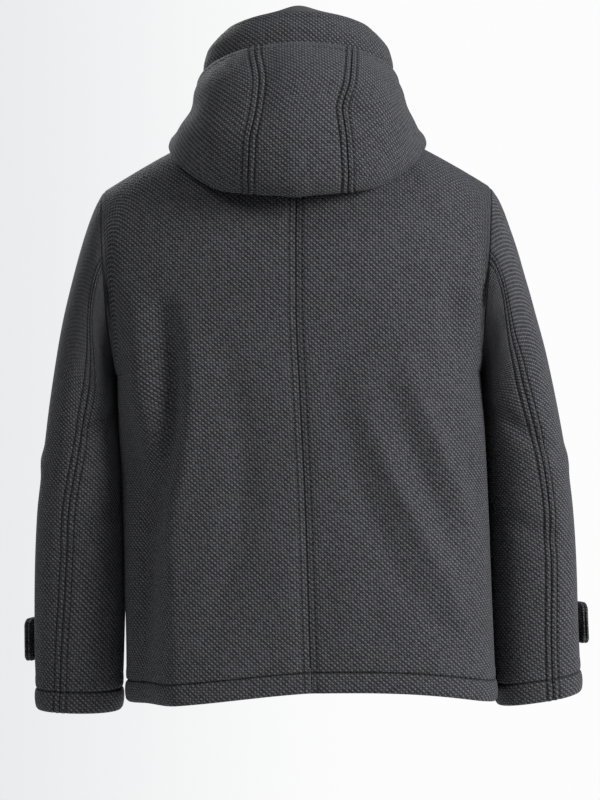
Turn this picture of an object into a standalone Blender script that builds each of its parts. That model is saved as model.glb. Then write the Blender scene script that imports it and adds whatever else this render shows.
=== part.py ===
"""Hooded hip-length coat, as worn: arms down, hood down, front buttoned.

The wearer faces -Y, so the back is on the +Y side, and the wearer's left is +X.
The origin lies between the shoulders at the base of the neck, where the coat is held up.
Sizes are in millimetres and are turned to metres when a mesh is made.
Every cloth piece is a wall between an outer and an inner grid of points.
"""

import math

import bpy
import bmesh
from mathutils import Matrix, Vector

MM = 0.001

# Cloth
CLOTH = 3.0  # thickness of one layer
SEAM_GAP = 0.3  # between two pieces at a seam

# Neck and shoulders
NECK_SIDE = 88.0  # half-width of the neckline
NECK_Y = 4.0  # the shoulder seam lies this far behind the middle
NECK_BACK = 78.0
NECK_FRONT = -92.0
NECK_Z_SIDE = -10.0
NECK_Z_BACK = -3.0
NECK_Z_FRONT = -62.0
NECK_SHARE = 0.4  # the part of a panel's width that meets the neckline
SHOULDER_Z = -90.0
SHOULDER_ARCH = 4.0  # rise of the shoulder seam above a straight line

# Armhole: an oval in one tilted plane
ARM_X = 230.5  # the plane's distance at the oval's middle
ARM_TILT = 0.07
ARM_Z = -204.0
ARM_HALF_HEIGHT = 114.0
ARM_HALF_DEPTH = 90.0
ARM_LOW = ARM_Z - ARM_HALF_HEIGHT  # the underarm

# Body
CHEST_BACK = 150.0
CHEST_FRONT = -148.0
SECTION_POWER = 0.64  # 1 gives an ellipse, less a squarer section
LEFT_POWER = 1.1  # the same at the back's left side, under the arm
LEFT_FALL_FROM = (0.7, 0.2)     # share of the half width where that starts, and its reach
LEFT_FALL_BELOW = (-330.0, 130.0)  # height below which it shows, and its reach
SLEEVE_RAISE_FROM = (200.0, 440.0)  # way down the sleeve where its raise starts, and its reach
CHEST_POWER = 2.4  # how far across the panel keeps its full depth
NECK_POWER = 2.2  # how fast the panel leaves the neck
ARM_POWER = 10  # how near the armhole the panel takes its round edge
LAP_CLEAR = 0.2  # added to the seam gap between the two fronts
HEM_Z_BACK = -693.5
HEM_Z_SIDE = -718.0
HEM_Z_FRONT = -700.0
HEM_DROP = 7.5        # the back's hem hangs lower on the wearer's left
HEM_DROP_SKEW = 1.3
LIFT_REACH = (0.16, 0.12)  # where the left front starts to come down on the right one, and how far
SIDEWAYS_BLEND = (0.15, 0.35)  # where the chest's slope turns into the shoulder's round
OVERLAP = 0.0512  # how far past the middle each front reaches, as a share of its width

# Pose: the coat leans and tilts a little
TILT = 0.0125
RIGHT_SLEEVE_RAISE = 14.0  # of the outer side of the right cuff

# Collar and hood
COLLAR_CLOTH = 4.0
COLLAR_END = 180.0 - 90.0 * OVERLAP / NECK_SHARE  # degrees from the centre back
FACING_CLOTH = 2.0
HOOD_END = 112.0
HOOD_CLEAR = 4.0  # between the hood's underside and the body
HOOD_ROOT_CLEAR = 1.2  # between the hood's root and the collar
HOOD_ROOT_RISE = 0.8  # of the hood's root above the neckline
FACING_RISE = 5.0  # of the facing above the collar's edge
FACING_PEAK = 6.0  # added at the centre back
FACING_PEAK_TURN = 14.0

# Fastenings
BUTTON_RADIUS = 13.0
BUTTON_THICK = 4.5
BUTTON_CLEAR = 0.6  # between a button and the cloth under it
BUTTON_HEIGHTS = (-149.7, -247.0, -345.0, -442.0, -540.0)
TAB_WIDTH = 50.0
TAB_CLOTH = 4.0
TAB_ALONG = 563.0  # the tab's middle, measured down the sleeve
TAB_FRONT = -108.0
TAB_END = 3.0
TAB_LIFT = 3.0  # how far the free end stands off the sleeve
TAB_STAND = (0.6, 2.4)  # between the sleeve and the tab, at its seam and past it
TAB_CORNER = 5.0  # cut off the width at the free end
TAB_EDGE = 1.2  # thinner by this on each face along the edges
TAB_PLACES = (-1, -0.86, -0.3, 0.3, 0.86, 1)  # columns across a tab, as shares of its half-width
TAB_BUTTON_TURN = -45.0


class Table:
    """A short table with named columns, read smoothly between its rows by its first column."""

    def __init__(self, names, *rows):
        self.keys = [row[0] for row in rows]
        self.columns = {name: [row[i] for row in rows] for i, name in enumerate(names.split())}

    def at(self, name, key):
        keys = self.keys
        values = self.columns[name]
        key = min(max(key, keys[0]), keys[-1])
        last = len(keys) - 2
        i = max(j for j in range(last + 1) if keys[j] <= key)
        step = keys[i + 1] - keys[i]
        rise = (values[i + 1] - values[i]) / step
        before = (values[i] - values[i - 1]) / (keys[i] - keys[i - 1]) if i > 0 else rise
        after = rise
        if i < last:
            after = (values[i + 2] - values[i + 1]) / (keys[i + 2] - keys[i + 1])
        start = 2 * before * rise / (before + rise) if before * rise > 0 else 0.0
        end = 2 * after * rise / (after + rise) if after * rise > 0 else 0.0
        t = (key - keys[i]) / step
        return (
            values[i] * (1 + 2 * t) * (1 - t) ** 2
            + values[i + 1] * t * t * (3 - 2 * t)
            + step * (start * t * (1 - t) ** 2 - end * t * t * (1 - t))
        )


# Heights are negative below the origin, so each table runs upwards.
LEAN = Table(
    "z shift", (-730, -14), (-600, -10), (-476, -6), (-350, 0), (-235, 5), (-150, 5.2), (-75, 3.4), (130, 2)
)

BODY = Table(
    "z half back front side_y",
    (-730, 227, 150, -142, 6),
    (-600, 225.5, 143, -140, 6),
    (-500, 225, 138, -142, 5),
    (-400, 225, 142, -146, 4),
    (-318, 222.6, 147, -148, 4),
)

HEM = Table(
    "above lift thick",
    (0, -0.8, 3.6),
    (3, 1.2, 6.0),
    (14, 2.2, 7.0),
    (22, 1.6, 6.2),
    (26, -0.8, 3.2),
    (31, 0.0, 3.0),
)
HEM_ROWS = (31.0, 26.0, 22.0, 12.0, 3.0, 0.0)

# swing moves a sleeve's outer side out, apart its inner side.
SLEEVE = Table(
    "down outer_x outer_z inner_x inner_z half_depth mid_y seam_left seam_right"
    " swing_left swing_right apart_left apart_right",
    (0, 238.5, -90, 222.6, -318, 90, 4, 79, 79, 0, 0, 0, 0),
    (20, 250, -107, 223.5, -318.8, 91.5, 4, 80, 79, -3, 0, 0, 0),
    (53, 263, -138, 224.0, -321.5, 92, 3, 83, 80, -5, 0, 0, 0),
    (102, 278, -185, 224.3, -327, 92, 2, 92, 86, -6.5, 0, 0, 0),
    (153, 289, -235, 224.5, -334, 90, 1, 100, 90, -5, 3, 0, 0),
    (219, 301, -300, 224.9, -346, 87, 0, 103, 90, -2.5, 6, 0, 0),
    (275, 310, -355, 225.6, -376, 83, -2, 98, 86, 0, 6, 0, 0),
    (334, 319, -413, 226.1, -422, 78, -5, 91, 78, 1, 5, 0, 0),
    (411, 328, -490, 226.2, -492, 71, -11, 83, 74, 5, 4, 0, 0),
    (491, 333.5, -570, 226.5, -570, 64, -18, 80, 75, 6, 2, 0.6, 0),
    (571, 336.5, -656, 228.4, -657, 59, -24, 75, 78, 6.5, 0, 3.5, 0),
    (643, 338, -730, 232.6, -733, 56, -29, 72, 80, 5, 0, 5, 0),
)
SLEEVE_LENGTH = 643.0
SLEEVE_FRONT_SEAM = -120.0

COLLAR = Table(
    "up side back front side_z back_z front_z",
    (0.0, NECK_SIDE, NECK_BACK, NECK_FRONT, NECK_Z_SIDE, NECK_Z_BACK, NECK_Z_FRONT),
    (0.06, 88.5, 78.3, -92.3, -3, 4, -56),
    (0.2, 98, 84, -95, 12, 20, -42),
    (0.45, 114, 95, -99, 38, 48, -18),
    (0.62, 118, 98, -99, 58, 70, 2),
    (0.8, 113, 94, -95, 80, 92, 22),
    (0.93, 99, 84, -88, 98, 109, 38),
    (1.0, 88, 76, -83, 108, 118, 46),
)

COLLAR_ROWS = (0.0, 0.06, 0.2, 0.35, 0.5, 0.65, 0.8, 0.93, 1.0)

HOOD = Table(
    "turn rim_r rim_z top_r top_z mid_r mid_z belly_r belly_z low_r low_z fold_r fold_z",
    (0, 113, 75, 140, 62, 176, 22, 196, -40, 192, -94, 170, -115),
    (30, 115, 71, 138, 58, 172, 20, 191, -34, 187, -84, 167, -105),
    (55, 118, 62, 130, 52, 153, 20, 169, -20, 175, -56, 166, -73),
    (75, 120, 53, 126, 43, 132, 16, 144, -9, 160, -31, 160, -45),
    (90, 122, 47, 124, 37, 127, 13, 134, -7, 153, -23, 154.5, -34),
    (115, 117, 32, 119, 24, 121, 6, 125, -8, 132.5, -18, 134, -27),
)

# The hood's two seams, by height: their distances from the middle on each side.
HOOD_SEAM = Table(
    "height left right",
    (-110, 57, 61),
    (-52, 55, 57),
    (-14, 49, 53),
    (24, 46, 61),
    (59, 51, 64),
)

# Where the hood's underside leaves the back panel, and past 90 degrees the front panel, and how
# far it bows above the straight way from its root.
HOOD_REST = Table(
    "turn across down bow",
    (0, 0.0, 0.33, 7),
    (30, 0.18, 0.31, 9),
    (55, 0.44, 0.22, 12),
    (75, 0.545, 0.11, 8),
    (90, 0.585, 0.0, 3.5),
    (115, 0.46, 0.15, 8),
)

# The largest folds of the body panels: a soft stroke from one end through its middle to the other.
# x is positive on the wearer's left; a negative height is a trough.
# Columns: face, x and z of the start, the bend and the end, width, height.
FOLDS = (
    ("back", 156, -245, 140, -355, 184, -490, 15, -23),
    ("back", 180, -470, 194, -560, 202, -650, 14, -11),
    ("back", 190, -230, 192, -330, 186, -420, 14, 7),
    ("back", 226, -150, 223, -220, 219, -290, 9, -7),
    ("back", 128, -262, 132, -385, 166, -520, 19, 5),
    ("back", 88, -290, 46, -440, 112, -620, 20, -5.5),
    ("back", -42, -318, -60, -530, -177, -642, 17, -5),
    ("back", -76, -370, -112, -470, -186, -612, 13, 6),
    ("back", -104, -335, -132, -430, -188, -552, 13, -5),
    ("back", -126, -310, -156, -400, -204, -515, 13, 6),
    ("back", -190, -212, -188, -245, -184, -280, 15, -6),
    ("back", -186, -380, -200, -420, -210, -470, 10, -3),
    ("back", -228, -170, -226, -230, -222, -290, 7, -4),
    ("back", 20, -500, 28, -580, 24, -660, 24, 3.5),
    ("back", -40, -520, -52, -590, -48, -665, 24, 3),
    ("front", 160, -240, 140, -310, 150, -420, 15, -8),
    ("front", -165, -235, -150, -300, -165, -400, 15, -7),
    ("front", 100, -330, 118, -470, 135, -620, 20, 5),
    ("front", -105, -340, -122, -480, -140, -620, 20, 5),
    ("front", 175, -430, 182, -520, 188, -620, 16, -5),
    ("front", -170, -420, -180, -520, -190, -610, 16, -5),
)

# Folds of the sleeves: the turn round the sleeve at each end and the way down it.
SLEEVE_FOLDS = (
    ("left", 150, 250, 100, 300, 40, 330, 12, -5),
    ("left", -60, 300, -20, 335, 30, 350, 13, 4),
    ("left", 160, 380, 110, 430, 60, 470, 14, -4),
    ("left", -90, 340, -70, 400, -30, 440, 14, -5),
    ("left", 128, 120, 130, 230, 135, 340, 18, 5),
    ("right", 150, 240, 110, 300, 50, 345, 12, -5),
    ("right", -70, 290, -30, 330, 20, 360, 13, 4),
    ("right", 150, 400, 100, 440, 50, 460, 14, -4),
    ("right", -90, 350, -60, 405, -20, 450, 14, -5),
    ("right", 128, 120, 130, 230, 135, 340, 18, 4),
)


# Folds of the hood: the turn round the hood at each end, and the way down it as a share of 200.
HOOD_FOLDS = (
    (104, 47, 74, 54, 30, 57, 10, -7),
    (-104, 50, -78, 54, -46, 56, 9, -4),
    (36, 60, 30, 66, 22, 72, 9, 3),
    (-24, 50, -30, 56, -38, 62, 8, 4),
    (-12, 50, -16, 56, -20, 62, 5, -4),
    (14, 26, 12, 44, 13, 62, 5, -4),
)


def smooth(value):
    value = min(max(value, 0.0), 1.0)
    return value * value * (3 - 2 * value)


def mix(first, second, share):
    return first * (1 - share) + second * share


def power(value, exponent):
    return math.copysign(abs(value) ** exponent, value)


def stroke(u, v, fold):
    """Height at (u, v) of one soft fold, which fades out at both ends."""
    u0, v0, u1, v1, u2, v2, width, height = fold
    nearest = 1e9
    share = 0.0
    steps = 10
    for i in range(steps + 1):
        t = i / steps
        a = mix(mix(u0, u1, t), mix(u1, u2, t), t)
        b = mix(mix(v0, v1, t), mix(v1, v2, t), t)
        distance = math.hypot(u - a, v - b)
        if distance < nearest:
            nearest = distance
            share = t
    fade = 0.35 + 0.65 * math.sin(math.pi * share)
    return height * fade * math.exp(-((nearest / width) ** 2))


def pose(point, side):
    """Takes a point of the upright coat, x positive, to its side and its slight lean."""
    x = point.x * side
    return Vector((x + LEAN.at("shift", point.z), point.y, point.z - TILT * x))


# Body panels: across is 0 at the centre line and 1 at the armhole or side seam;
# down is 0 at the neck and shoulder edge, 1 at the underarm and 2 at the hem.
def neckline(turn):
    """A point of the neckline; turn is 0 at the centre back, 180 at the centre front."""
    angle = math.radians(turn)
    reach = NECK_BACK if turn < 90 else -NECK_FRONT + 2 * NECK_Y
    height = NECK_Z_BACK if turn < 90 else NECK_Z_FRONT
    x = NECK_SIDE * math.sin(angle)
    y = NECK_Y + (reach - NECK_Y) * math.cos(angle)
    return Vector((x, y, NECK_Z_SIDE + (height - NECK_Z_SIDE) * math.cos(angle) ** 2))


def armhole_x(z):
    return ARM_X + ARM_TILT * (z - ARM_Z)


def armhole_normal(turn):
    """Outwards from the armhole's oval, within its plane; turn is 0 at the shoulder, 90 at the
    back and 180 at the underarm."""
    angle = math.radians(turn)
    up = math.cos(angle) / ARM_HALF_HEIGHT
    return Vector((ARM_TILT * up, math.sin(angle) / ARM_HALF_DEPTH, up)).normalized()


ARM_AWAY = Vector((1, 0, -ARM_TILT)).normalized()
SHOULDER_NORMAL = Vector((0.5, 0, 0.87))
NECK_CORNER_NORMAL = Vector((0.8, 0, 0.6))


def top_edge(face, across):
    if across <= NECK_SHARE:
        turn = 90 * across / NECK_SHARE
        return neckline(turn if face == "back" else 180 - turn)
    share = (across - NECK_SHARE) / (1 - NECK_SHARE)
    point = neckline(90).lerp(Vector((armhole_x(SHOULDER_Z), NECK_Y, SHOULDER_Z)), share)
    point.z += SHOULDER_ARCH * 4 * share * (1 - share)
    return point


def torso(face, across, down):
    """An outer point of a body panel, upright and without folds."""
    if across < 0:
        point = torso(face, -across, down)
        return Vector((-point.x, point.y, point.z))
    out = math.sin(math.radians(90 * across)) ** SECTION_POWER
    round_off = max(math.cos(math.radians(90 * across)), 0.0) ** SECTION_POWER
    sign = 1 if face == "back" else -1
    if down > 1:
        hem = HEM_Z_BACK if face == "back" else HEM_Z_FRONT
        hem = mix(hem, HEM_Z_SIDE, out ** 3)
        z = mix(ARM_LOW, hem, down - 1)
        side_y = BODY.at("side_y", z)
        return Vector((BODY.at("half", z) * out, mix(side_y, BODY.at(face, z), round_off), z))
    top = top_edge(face, across)
    angle = math.pi * down
    edge_y = NECK_Y + sign * ARM_HALF_DEPTH
    chest = CHEST_BACK if face == "back" else CHEST_FRONT
    middle_y = mix(edge_y, chest, 1 - out ** CHEST_POWER)
    if down <= 0.5:
        fall = 1 - math.cos(angle)
        rounded = math.sin(angle)
        sloped = 1 - (1 - fall) ** NECK_POWER
        start, reach = SIDEWAYS_BLEND
        y = mix(top.y, middle_y, mix(sloped, rounded, smooth((across - start) / reach)))
        z = ARM_Z + (top.z - ARM_Z) * math.cos(angle)
    else:
        fall = -math.cos(angle)
        low_y = mix(BODY.at("side_y", ARM_LOW), BODY.at(face, ARM_LOW), round_off)
        rounded = math.sqrt(max(1 - fall * fall, 0.0))
        y = mix(low_y, middle_y, mix(1 - smooth(fall), rounded, out ** ARM_POWER))
        z = ARM_Z + ARM_HALF_HEIGHT * math.cos(angle)
    edge_x = armhole_x(ARM_Z + ARM_HALF_HEIGHT * math.cos(angle))
    share = mix(top.x / armhole_x(SHOULDER_Z), out, smooth(down / 0.5))
    return Vector((edge_x * share, y, z))


def torso_normal(face, across, down):
    """The direction in which a panel's thickness is measured, shared at every seam."""
    sign = 1 if face == "back" else -1
    if down == 0:
        if across >= 1:
            return armhole_normal(0)
        if across > NECK_SHARE + 0.001:
            return SHOULDER_NORMAL.copy()
        if across > NECK_SHARE - 0.001:
            return NECK_CORNER_NORMAL.copy()
        turn = math.radians(90 * across / NECK_SHARE)
        return Vector((math.sin(turn), sign * math.cos(turn), 0))
    if across >= 1 and down <= 1:
        turn = 180 * down
        flat = smooth((turn - 100) / 80)
        normal = armhole_normal(turn)
        normal.y *= sign
        return (normal * (1 - flat) + ARM_AWAY * flat).normalized()
    step = 0.01
    left = torso(face, max(across - step, -OVERLAP - step), down)
    right = torso(face, min(across + step, 1), down)
    above = torso(face, across, max(down - step, 0))
    below = torso(face, across, min(down + step, 2))
    normal = (right - left).cross(below - above)
    if normal.y * sign < 0 or (across > 0.9 and normal.x < 0):
        normal.negate()
    if across >= 1:
        normal = Vector((abs(normal.x), 0, normal.z))
    if across == 0:
        normal.x = 0
    return normal.normalized()


def body_relief(face, side, point):
    x = point.x * side
    total = 0.0
    for where, *fold in FOLDS:
        if where == face:
            total += stroke(x, point.z, fold)
    return total


def front_lift(side, across, thick):
    """The left front laps over the right one, clear of its thickness."""
    if side < 0:
        return 0.0
    start, reach = LIFT_REACH
    return (thick + SEAM_GAP + LAP_CLEAR) * (1 - smooth((across - start) / reach))


def side_fall(face, side, across, z):
    """How far the back's left side falls away forwards, under the arm."""
    if face == "front" or side < 0:
        return 0.0
    out = math.sin(math.radians(90 * across)) ** SECTION_POWER
    full = max(math.cos(math.radians(90 * across)), 0.0) ** SECTION_POWER
    rounder = max(1 - out ** (2 / LEFT_POWER), 0.0) ** (LEFT_POWER / 2)
    depth = BODY.at("back", z) - BODY.at("side_y", z)
    start, reach = LEFT_FALL_FROM
    below, depth_reach = LEFT_FALL_BELOW
    return depth * (full - rounder) * smooth((out - start) / reach) * smooth((below - z) / depth_reach)


def hem_drop(face, side, across, down):
    """How much lower the wearer's left half of the back hangs than the right half."""
    if face == "front" or side < 0:
        return 0.0
    out = math.sin(math.radians(90 * across)) ** SECTION_POWER
    return HEM_DROP * math.sin(math.pi * out ** HEM_DROP_SKEW) * smooth((down - 1.5) / 0.5)


def panel_rows(upper, lower):
    """Rows of a body panel: down and the height above the hem's edge, or None away from it."""
    length = ARM_LOW - HEM_Z_SIDE
    rows = [(i / upper, None) for i in range(upper)]
    last = 1 - (HEM_ROWS[0] + 12) / length
    rows += [(1 + last * i / lower, None) for i in range(lower + 1)]
    rows += [(2 - above / length, above) for above in HEM_ROWS]
    return rows


def wall(outer, inner):
    """Vertices and faces of a wall between two grids of points, closed at its edges."""
    rows = len(outer)
    cols = len(outer[0])
    points = [p for row in outer for p in row] + [p for row in inner for p in row]
    count = rows * cols
    last = count - cols
    faces = []
    for i in range(rows - 1):
        for j in range(cols - 1):
            a = i * cols + j
            b, c, d = a + 1, a + cols + 1, a + cols
            faces.append((a, b, c, d))
            faces.append((count + a, count + d, count + c, count + b))
    # The narrow faces along the edges are split the same way on both sides of a seam.
    for j in range(cols - 1):
        a, b = j, j + 1
        faces += [(b, a, count + a), (b, count + a, count + b)]
        a, b = last + j, last + j + 1
        faces += [(a, b, count + b), (a, count + b, count + a)]
    for i in range(rows - 1):
        a, b = i * cols, (i + 1) * cols
        faces += [(a, b, count + b), (a, count + b, count + a)]
        a, b = a + cols - 1, b + cols - 1
        faces += [(b, a, count + b), (count + b, a, count + a)]
    return points, faces


def material(name, color, roughness):
    made = bpy.data.materials.new(name)
    made.use_nodes = True
    shader = made.node_tree.nodes["Principled BSDF"]
    shader.inputs["Base Color"].default_value = (*color, 1.0)
    shader.inputs["Roughness"].default_value = roughness
    shader.inputs["Metallic"].default_value = 0.0
    made.diffuse_color = (*color, 1.0)
    return made


WOOL = (0.055, 0.055, 0.060)
FACING_GREY = (0.085, 0.085, 0.090)
BUTTON_BLACK = (0.018, 0.018, 0.020)


def add_object(name, mesh, color, roughness):
    mesh.materials.append(material(name, color, roughness))
    made = bpy.data.objects.new(name, mesh)
    coat.objects.link(made)
    return made


def cloth_object(name, outer, inner, color=WOOL):
    points, faces = wall(outer, inner)
    mesh = bpy.data.meshes.new(name)
    mesh.from_pydata([p * MM for p in points], [], faces)
    shape = bmesh.new()
    shape.from_mesh(mesh)
    bmesh.ops.recalc_face_normals(shape, faces=shape.faces)
    shape.to_mesh(mesh)
    shape.free()
    mesh.shade_smooth()
    mesh.set_sharp_from_angle(angle=math.radians(45))
    return add_object(name, mesh, color, 0.9)


def body_panel(name, face, side, columns, rows):
    sign = 1 if face == "back" else -1
    outer, inner = [], []
    for down, above in rows:
        lift, thick = 0.0, CLOTH
        if above is not None:
            lift, thick = HEM.at("lift", above), HEM.at("thick", above)
        outer_row, inner_row = [], []
        for across in columns:
            point = torso(face, across, down)
            if across > 0:
                point.y -= side_fall(face, side, across, point.z)
                point.z -= hem_drop(face, side, across, down)
            normal = torso_normal(face, across, down)
            edge = smooth(down / 0.15) * (smooth((1 - across) / 0.08) if down <= 1 else 1)
            rise = lift + edge * body_relief(face, side, point)
            if face == "front":
                rise += front_lift(side, across, thick)
            point = point + normal * rise
            under = point - normal * thick
            clear = Vector((0, 0, 0))
            if face == "back" and across == 0:
                clear.x = SEAM_GAP / 2
            if (across >= 1 and down >= 1) or (down == 0 and across >= NECK_SHARE - 0.001):
                clear.y = sign * SEAM_GAP / 2
            outer_row.append(pose(point + clear, side))
            inner_row.append(pose(under + clear, side))
        outer.append(outer_row)
        inner.append(inner_row)
    return cloth_object(name, outer, inner)


def panel_columns(neck, shoulder):
    columns = [NECK_SHARE * i / neck for i in range(neck)]
    columns += [mix(NECK_SHARE, 1, i / shoulder) for i in range(shoulder + 1)]
    return columns


def build_body():
    rows = panel_rows(9, 15)
    front_rows = panel_rows(8, 8)
    columns = panel_columns(6, 10)
    front_columns = sorted(panel_columns(6, 6) + [-OVERLAP, OVERLAP])
    for side, hand in ((1, "left"), (-1, "right")):
        body_panel("back_" + hand, "back", side, columns, rows)
        body_panel("front_" + hand, "front", side, front_columns, front_rows)


# Sleeves: turn is 0 on the outer side, 90 at the back, 180 inside; down is measured in millimetres
# from the shoulder.
def sleeve(hand, turn, down):
    angle = math.radians(turn)
    outer = Vector((SLEEVE.at("outer_x", down) + SLEEVE.at("swing_" + hand, down), 0, 0))
    inside = Vector((SLEEVE.at("inner_x", down) + SLEEVE.at("apart_" + hand, down), 0, 0))
    outer.z = SLEEVE.at("outer_z", down)
    inside.z = SLEEVE.at("inner_z", down)
    squareness = mix(1.0, 0.88, smooth(down / 200))
    middle = (outer + inside) / 2
    y = SLEEVE.at("mid_y", down) + SLEEVE.at("half_depth", down) * power(math.sin(angle), squareness)
    point = middle + (outer - inside) / 2 * power(math.cos(angle), squareness)
    return Vector((point.x, y, point.z))


def sleeve_normal(hand, turn, down):
    if down == 0:
        return armhole_normal(turn)
    step = 2.0
    around = sleeve(hand, turn + 1, down) - sleeve(hand, turn - 1, down)
    along = sleeve(hand, turn, min(down + step, SLEEVE_LENGTH)) - sleeve(hand, turn, max(down - step, 0))
    return along.cross(around).normalized()


def sleeve_wall(hand, turn, down, lift, thick):
    """The outer and inner point of a sleeve."""
    point = sleeve(hand, turn, down)
    normal = sleeve_normal(hand, turn, down)
    signed = (turn + 180) % 360 - 180
    for where, t0, d0, t1, d1, t2, d2, width, height in SLEEVE_FOLDS:
        if where == hand:
            fold = (t0, d0, t1, d1, t2, d2, width, height)
            lift += stroke(signed, down, fold) * smooth(down / 60)
    point = point + normal * lift
    under = point - normal * thick
    if down == 0:
        point = point + ARM_AWAY * SEAM_GAP
        under = under + ARM_AWAY * SEAM_GAP
    if hand == "right":
        outward = (1 + math.cos(math.radians(turn))) / 2
        start, reach = SLEEVE_RAISE_FROM
        rise = RIGHT_SLEEVE_RAISE * outward * smooth((down - start) / reach)
        point.z += rise
        under.z += rise
    return point, under


def sleeve_rows(count):
    last = SLEEVE_LENGTH - HEM_ROWS[0] - 12
    rows = [(0.0, None), (7.0, None)]
    rows += [(mix(20, last, i / count), None) for i in range(count + 1)]
    rows += [(SLEEVE_LENGTH - above, above) for above in HEM_ROWS]
    return rows


def build_sleeves():
    for side, hand in ((1, "left"), (-1, "right")):
        for part, columns in (("top", 11), ("under", 8)):
            outer, inner = [], []
            for down, above in sleeve_rows(13):
                seam = SLEEVE.at("seam_" + hand, down)
                first, last = SLEEVE_FRONT_SEAM, seam
                if part == "under":
                    first, last = seam, SLEEVE_FRONT_SEAM + 360
                lift, thick = 0.0, CLOTH
                if above is not None:
                    lift, thick = HEM.at("lift", above), HEM.at("thick", above)
                outer_row, inner_row = [], []
                for j in range(columns + 1):
                    turn = mix(first, last, j / columns)
                    point, under = sleeve_wall(hand, turn, down, lift, thick)
                    if j in (0, columns):
                        way = (sleeve(hand, turn + 1, down) - sleeve(hand, turn - 1, down)).normalized()
                        clear = way * (SEAM_GAP / 2 if j == 0 else -SEAM_GAP / 2)
                        point = point + clear
                        under = under + clear
                    outer_row.append(pose(point, side))
                    inner_row.append(pose(under, side))
                outer.append(outer_row)
                inner.append(inner_row)
            cloth_object("sleeve_" + part + "_" + hand, outer, inner)


def tab_stand(share, layer):
    """How far the underside of a tab's layer stands off the sleeve, along the tab from its seam."""
    base = mix(*TAB_STAND, smooth(share / 0.4))
    return base + TAB_LIFT * smooth((share - 0.5) / 0.5) + layer * (TAB_CLOTH + SEAM_GAP)


def build_tabs():
    """A two-layer tab from each sleeve's front seam round its outer side, its free end standing off."""
    steps = 10
    for side, hand in ((1, "left"), (-1, "right")):
        for layer, name in ((0, "cuff_tab_under_"), (1, "cuff_tab_")):
            outer, inner = [], []
            for i in range(steps + 1):
                share = i / steps
                turn = mix(TAB_FRONT, TAB_END, share)
                stand = tab_stand(share, layer)
                half = TAB_WIDTH / 2
                if i == steps:
                    half -= TAB_CORNER
                outer_row, inner_row = [], []
                for place in TAB_PLACES:
                    thin = TAB_EDGE if abs(place) == 1 else 0.0
                    down = TAB_ALONG + place * half
                    point, _ = sleeve_wall(hand, turn, down, 0, CLOTH)
                    normal = sleeve_normal(hand, turn, down)
                    outer_row.append(pose(point + normal * (stand + TAB_CLOTH - thin), side))
                    inner_row.append(pose(point + normal * (stand + thin), side))
                outer.append(outer_row)
                inner.append(inner_row)
            cloth_object(name + hand, outer, inner)
        share = (TAB_BUTTON_TURN - TAB_FRONT) / (TAB_END - TAB_FRONT)
        point, _ = sleeve_wall(hand, TAB_BUTTON_TURN, TAB_ALONG, 0, CLOTH)
        normal = sleeve_normal(hand, TAB_BUTTON_TURN, TAB_ALONG)
        point = point + normal * (tab_stand(share, 1) + TAB_CLOTH)
        normal = Vector((normal.x * side, normal.y, normal.z))
        button("tab_button_" + hand, pose(point, side), normal)


# Collar and hood: turn is 0 at the centre back and grows towards the front.
def collar(turn, up):
    angle = math.radians(turn)
    behind = abs(turn) < 90
    side = COLLAR.at("side", up)
    reach = COLLAR.at("back", up) if behind else -COLLAR.at("front", up) + 2 * NECK_Y
    end_z = COLLAR.at("back_z", up) if behind else COLLAR.at("front_z", up)
    side_z = COLLAR.at("side_z", up)
    y = NECK_Y + (reach - NECK_Y) * math.cos(angle)
    return Vector((side * math.sin(angle), y, side_z + (end_z - side_z) * math.cos(angle) ** 2))


def collar_normal(turn, up):
    if up == 0:
        return Vector((math.sin(math.radians(turn)), math.cos(math.radians(turn)), 0))
    around = collar(turn + 1, up) - collar(turn - 1, up)
    rising = collar(turn, min(up + 0.02, 1)) - collar(turn, max(up - 0.02, 0))
    return outward(around.cross(rising).normalized(), turn)


def outward(vector, turn):
    """The vector or its opposite, whichever points away from the neck."""
    angle = math.radians(turn)
    away = vector.x * math.sin(angle) + vector.y * math.cos(angle)
    return vector if away >= 0 else -vector


def collar_turns():
    return [-COLLAR_END] + list(range(-165, 166, 15)) + [COLLAR_END]


def build_collar():
    outer, inner = [], []
    for up in COLLAR_ROWS:
        outer_row, inner_row = [], []
        for turn in collar_turns():
            point = collar(turn, up) + Vector((0, 0, SEAM_GAP))
            normal = collar_normal(turn, up)
            outer_row.append(pose(point, 1))
            inner_row.append(pose(point - normal * COLLAR_CLOTH, 1))
        outer.append(outer_row)
        inner.append(inner_row)
    cloth_object("collar", outer, inner)

    outer, inner = [], []
    for up, extra in [(up, 0) for up in COLLAR_ROWS[1:]] + [(1.0, 0.5), (1.0, 1.0)]:
        outer_row, inner_row = [], []
        for turn in collar_turns():
            point = collar(turn, up) + Vector((0, 0, SEAM_GAP))
            normal = collar_normal(turn, up)
            point = point - normal * (COLLAR_CLOTH + SEAM_GAP)
            peak = FACING_RISE + FACING_PEAK * math.exp(-((turn / FACING_PEAK_TURN) ** 2))
            point = point + Vector((0, 0, extra * peak))
            outer_row.append(pose(point, 1))
            inner_row.append(pose(point - normal * FACING_CLOTH, 1))
        outer.append(outer_row)
        inner.append(inner_row)
    cloth_object("collar_facing", outer, inner, FACING_GREY)


def under_hood(turn, share):
    """A point just outside the body, from the neckline at 0 to where the hood leaves it at 1."""
    face = "back" if turn <= 90 else "front"
    across = HOOD_REST.at("across", turn)
    down = HOOD_REST.at("down", turn)
    angle = math.radians(turn)
    away = Vector((math.sin(angle), math.cos(angle), 0))
    root = neckline(turn) + away * HOOD_ROOT_CLEAR
    root.z += HOOD_ROOT_RISE
    normal = torso_normal(face, across, max(down, 0.004))
    rest = torso(face, across, down) + normal * HOOD_CLEAR
    rise = (away + Vector((0, 0, 1.5))).normalized() * HOOD_REST.at("bow", turn)
    return root.lerp(rest, share) + rise * 4 * share * (1 - share)


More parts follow.
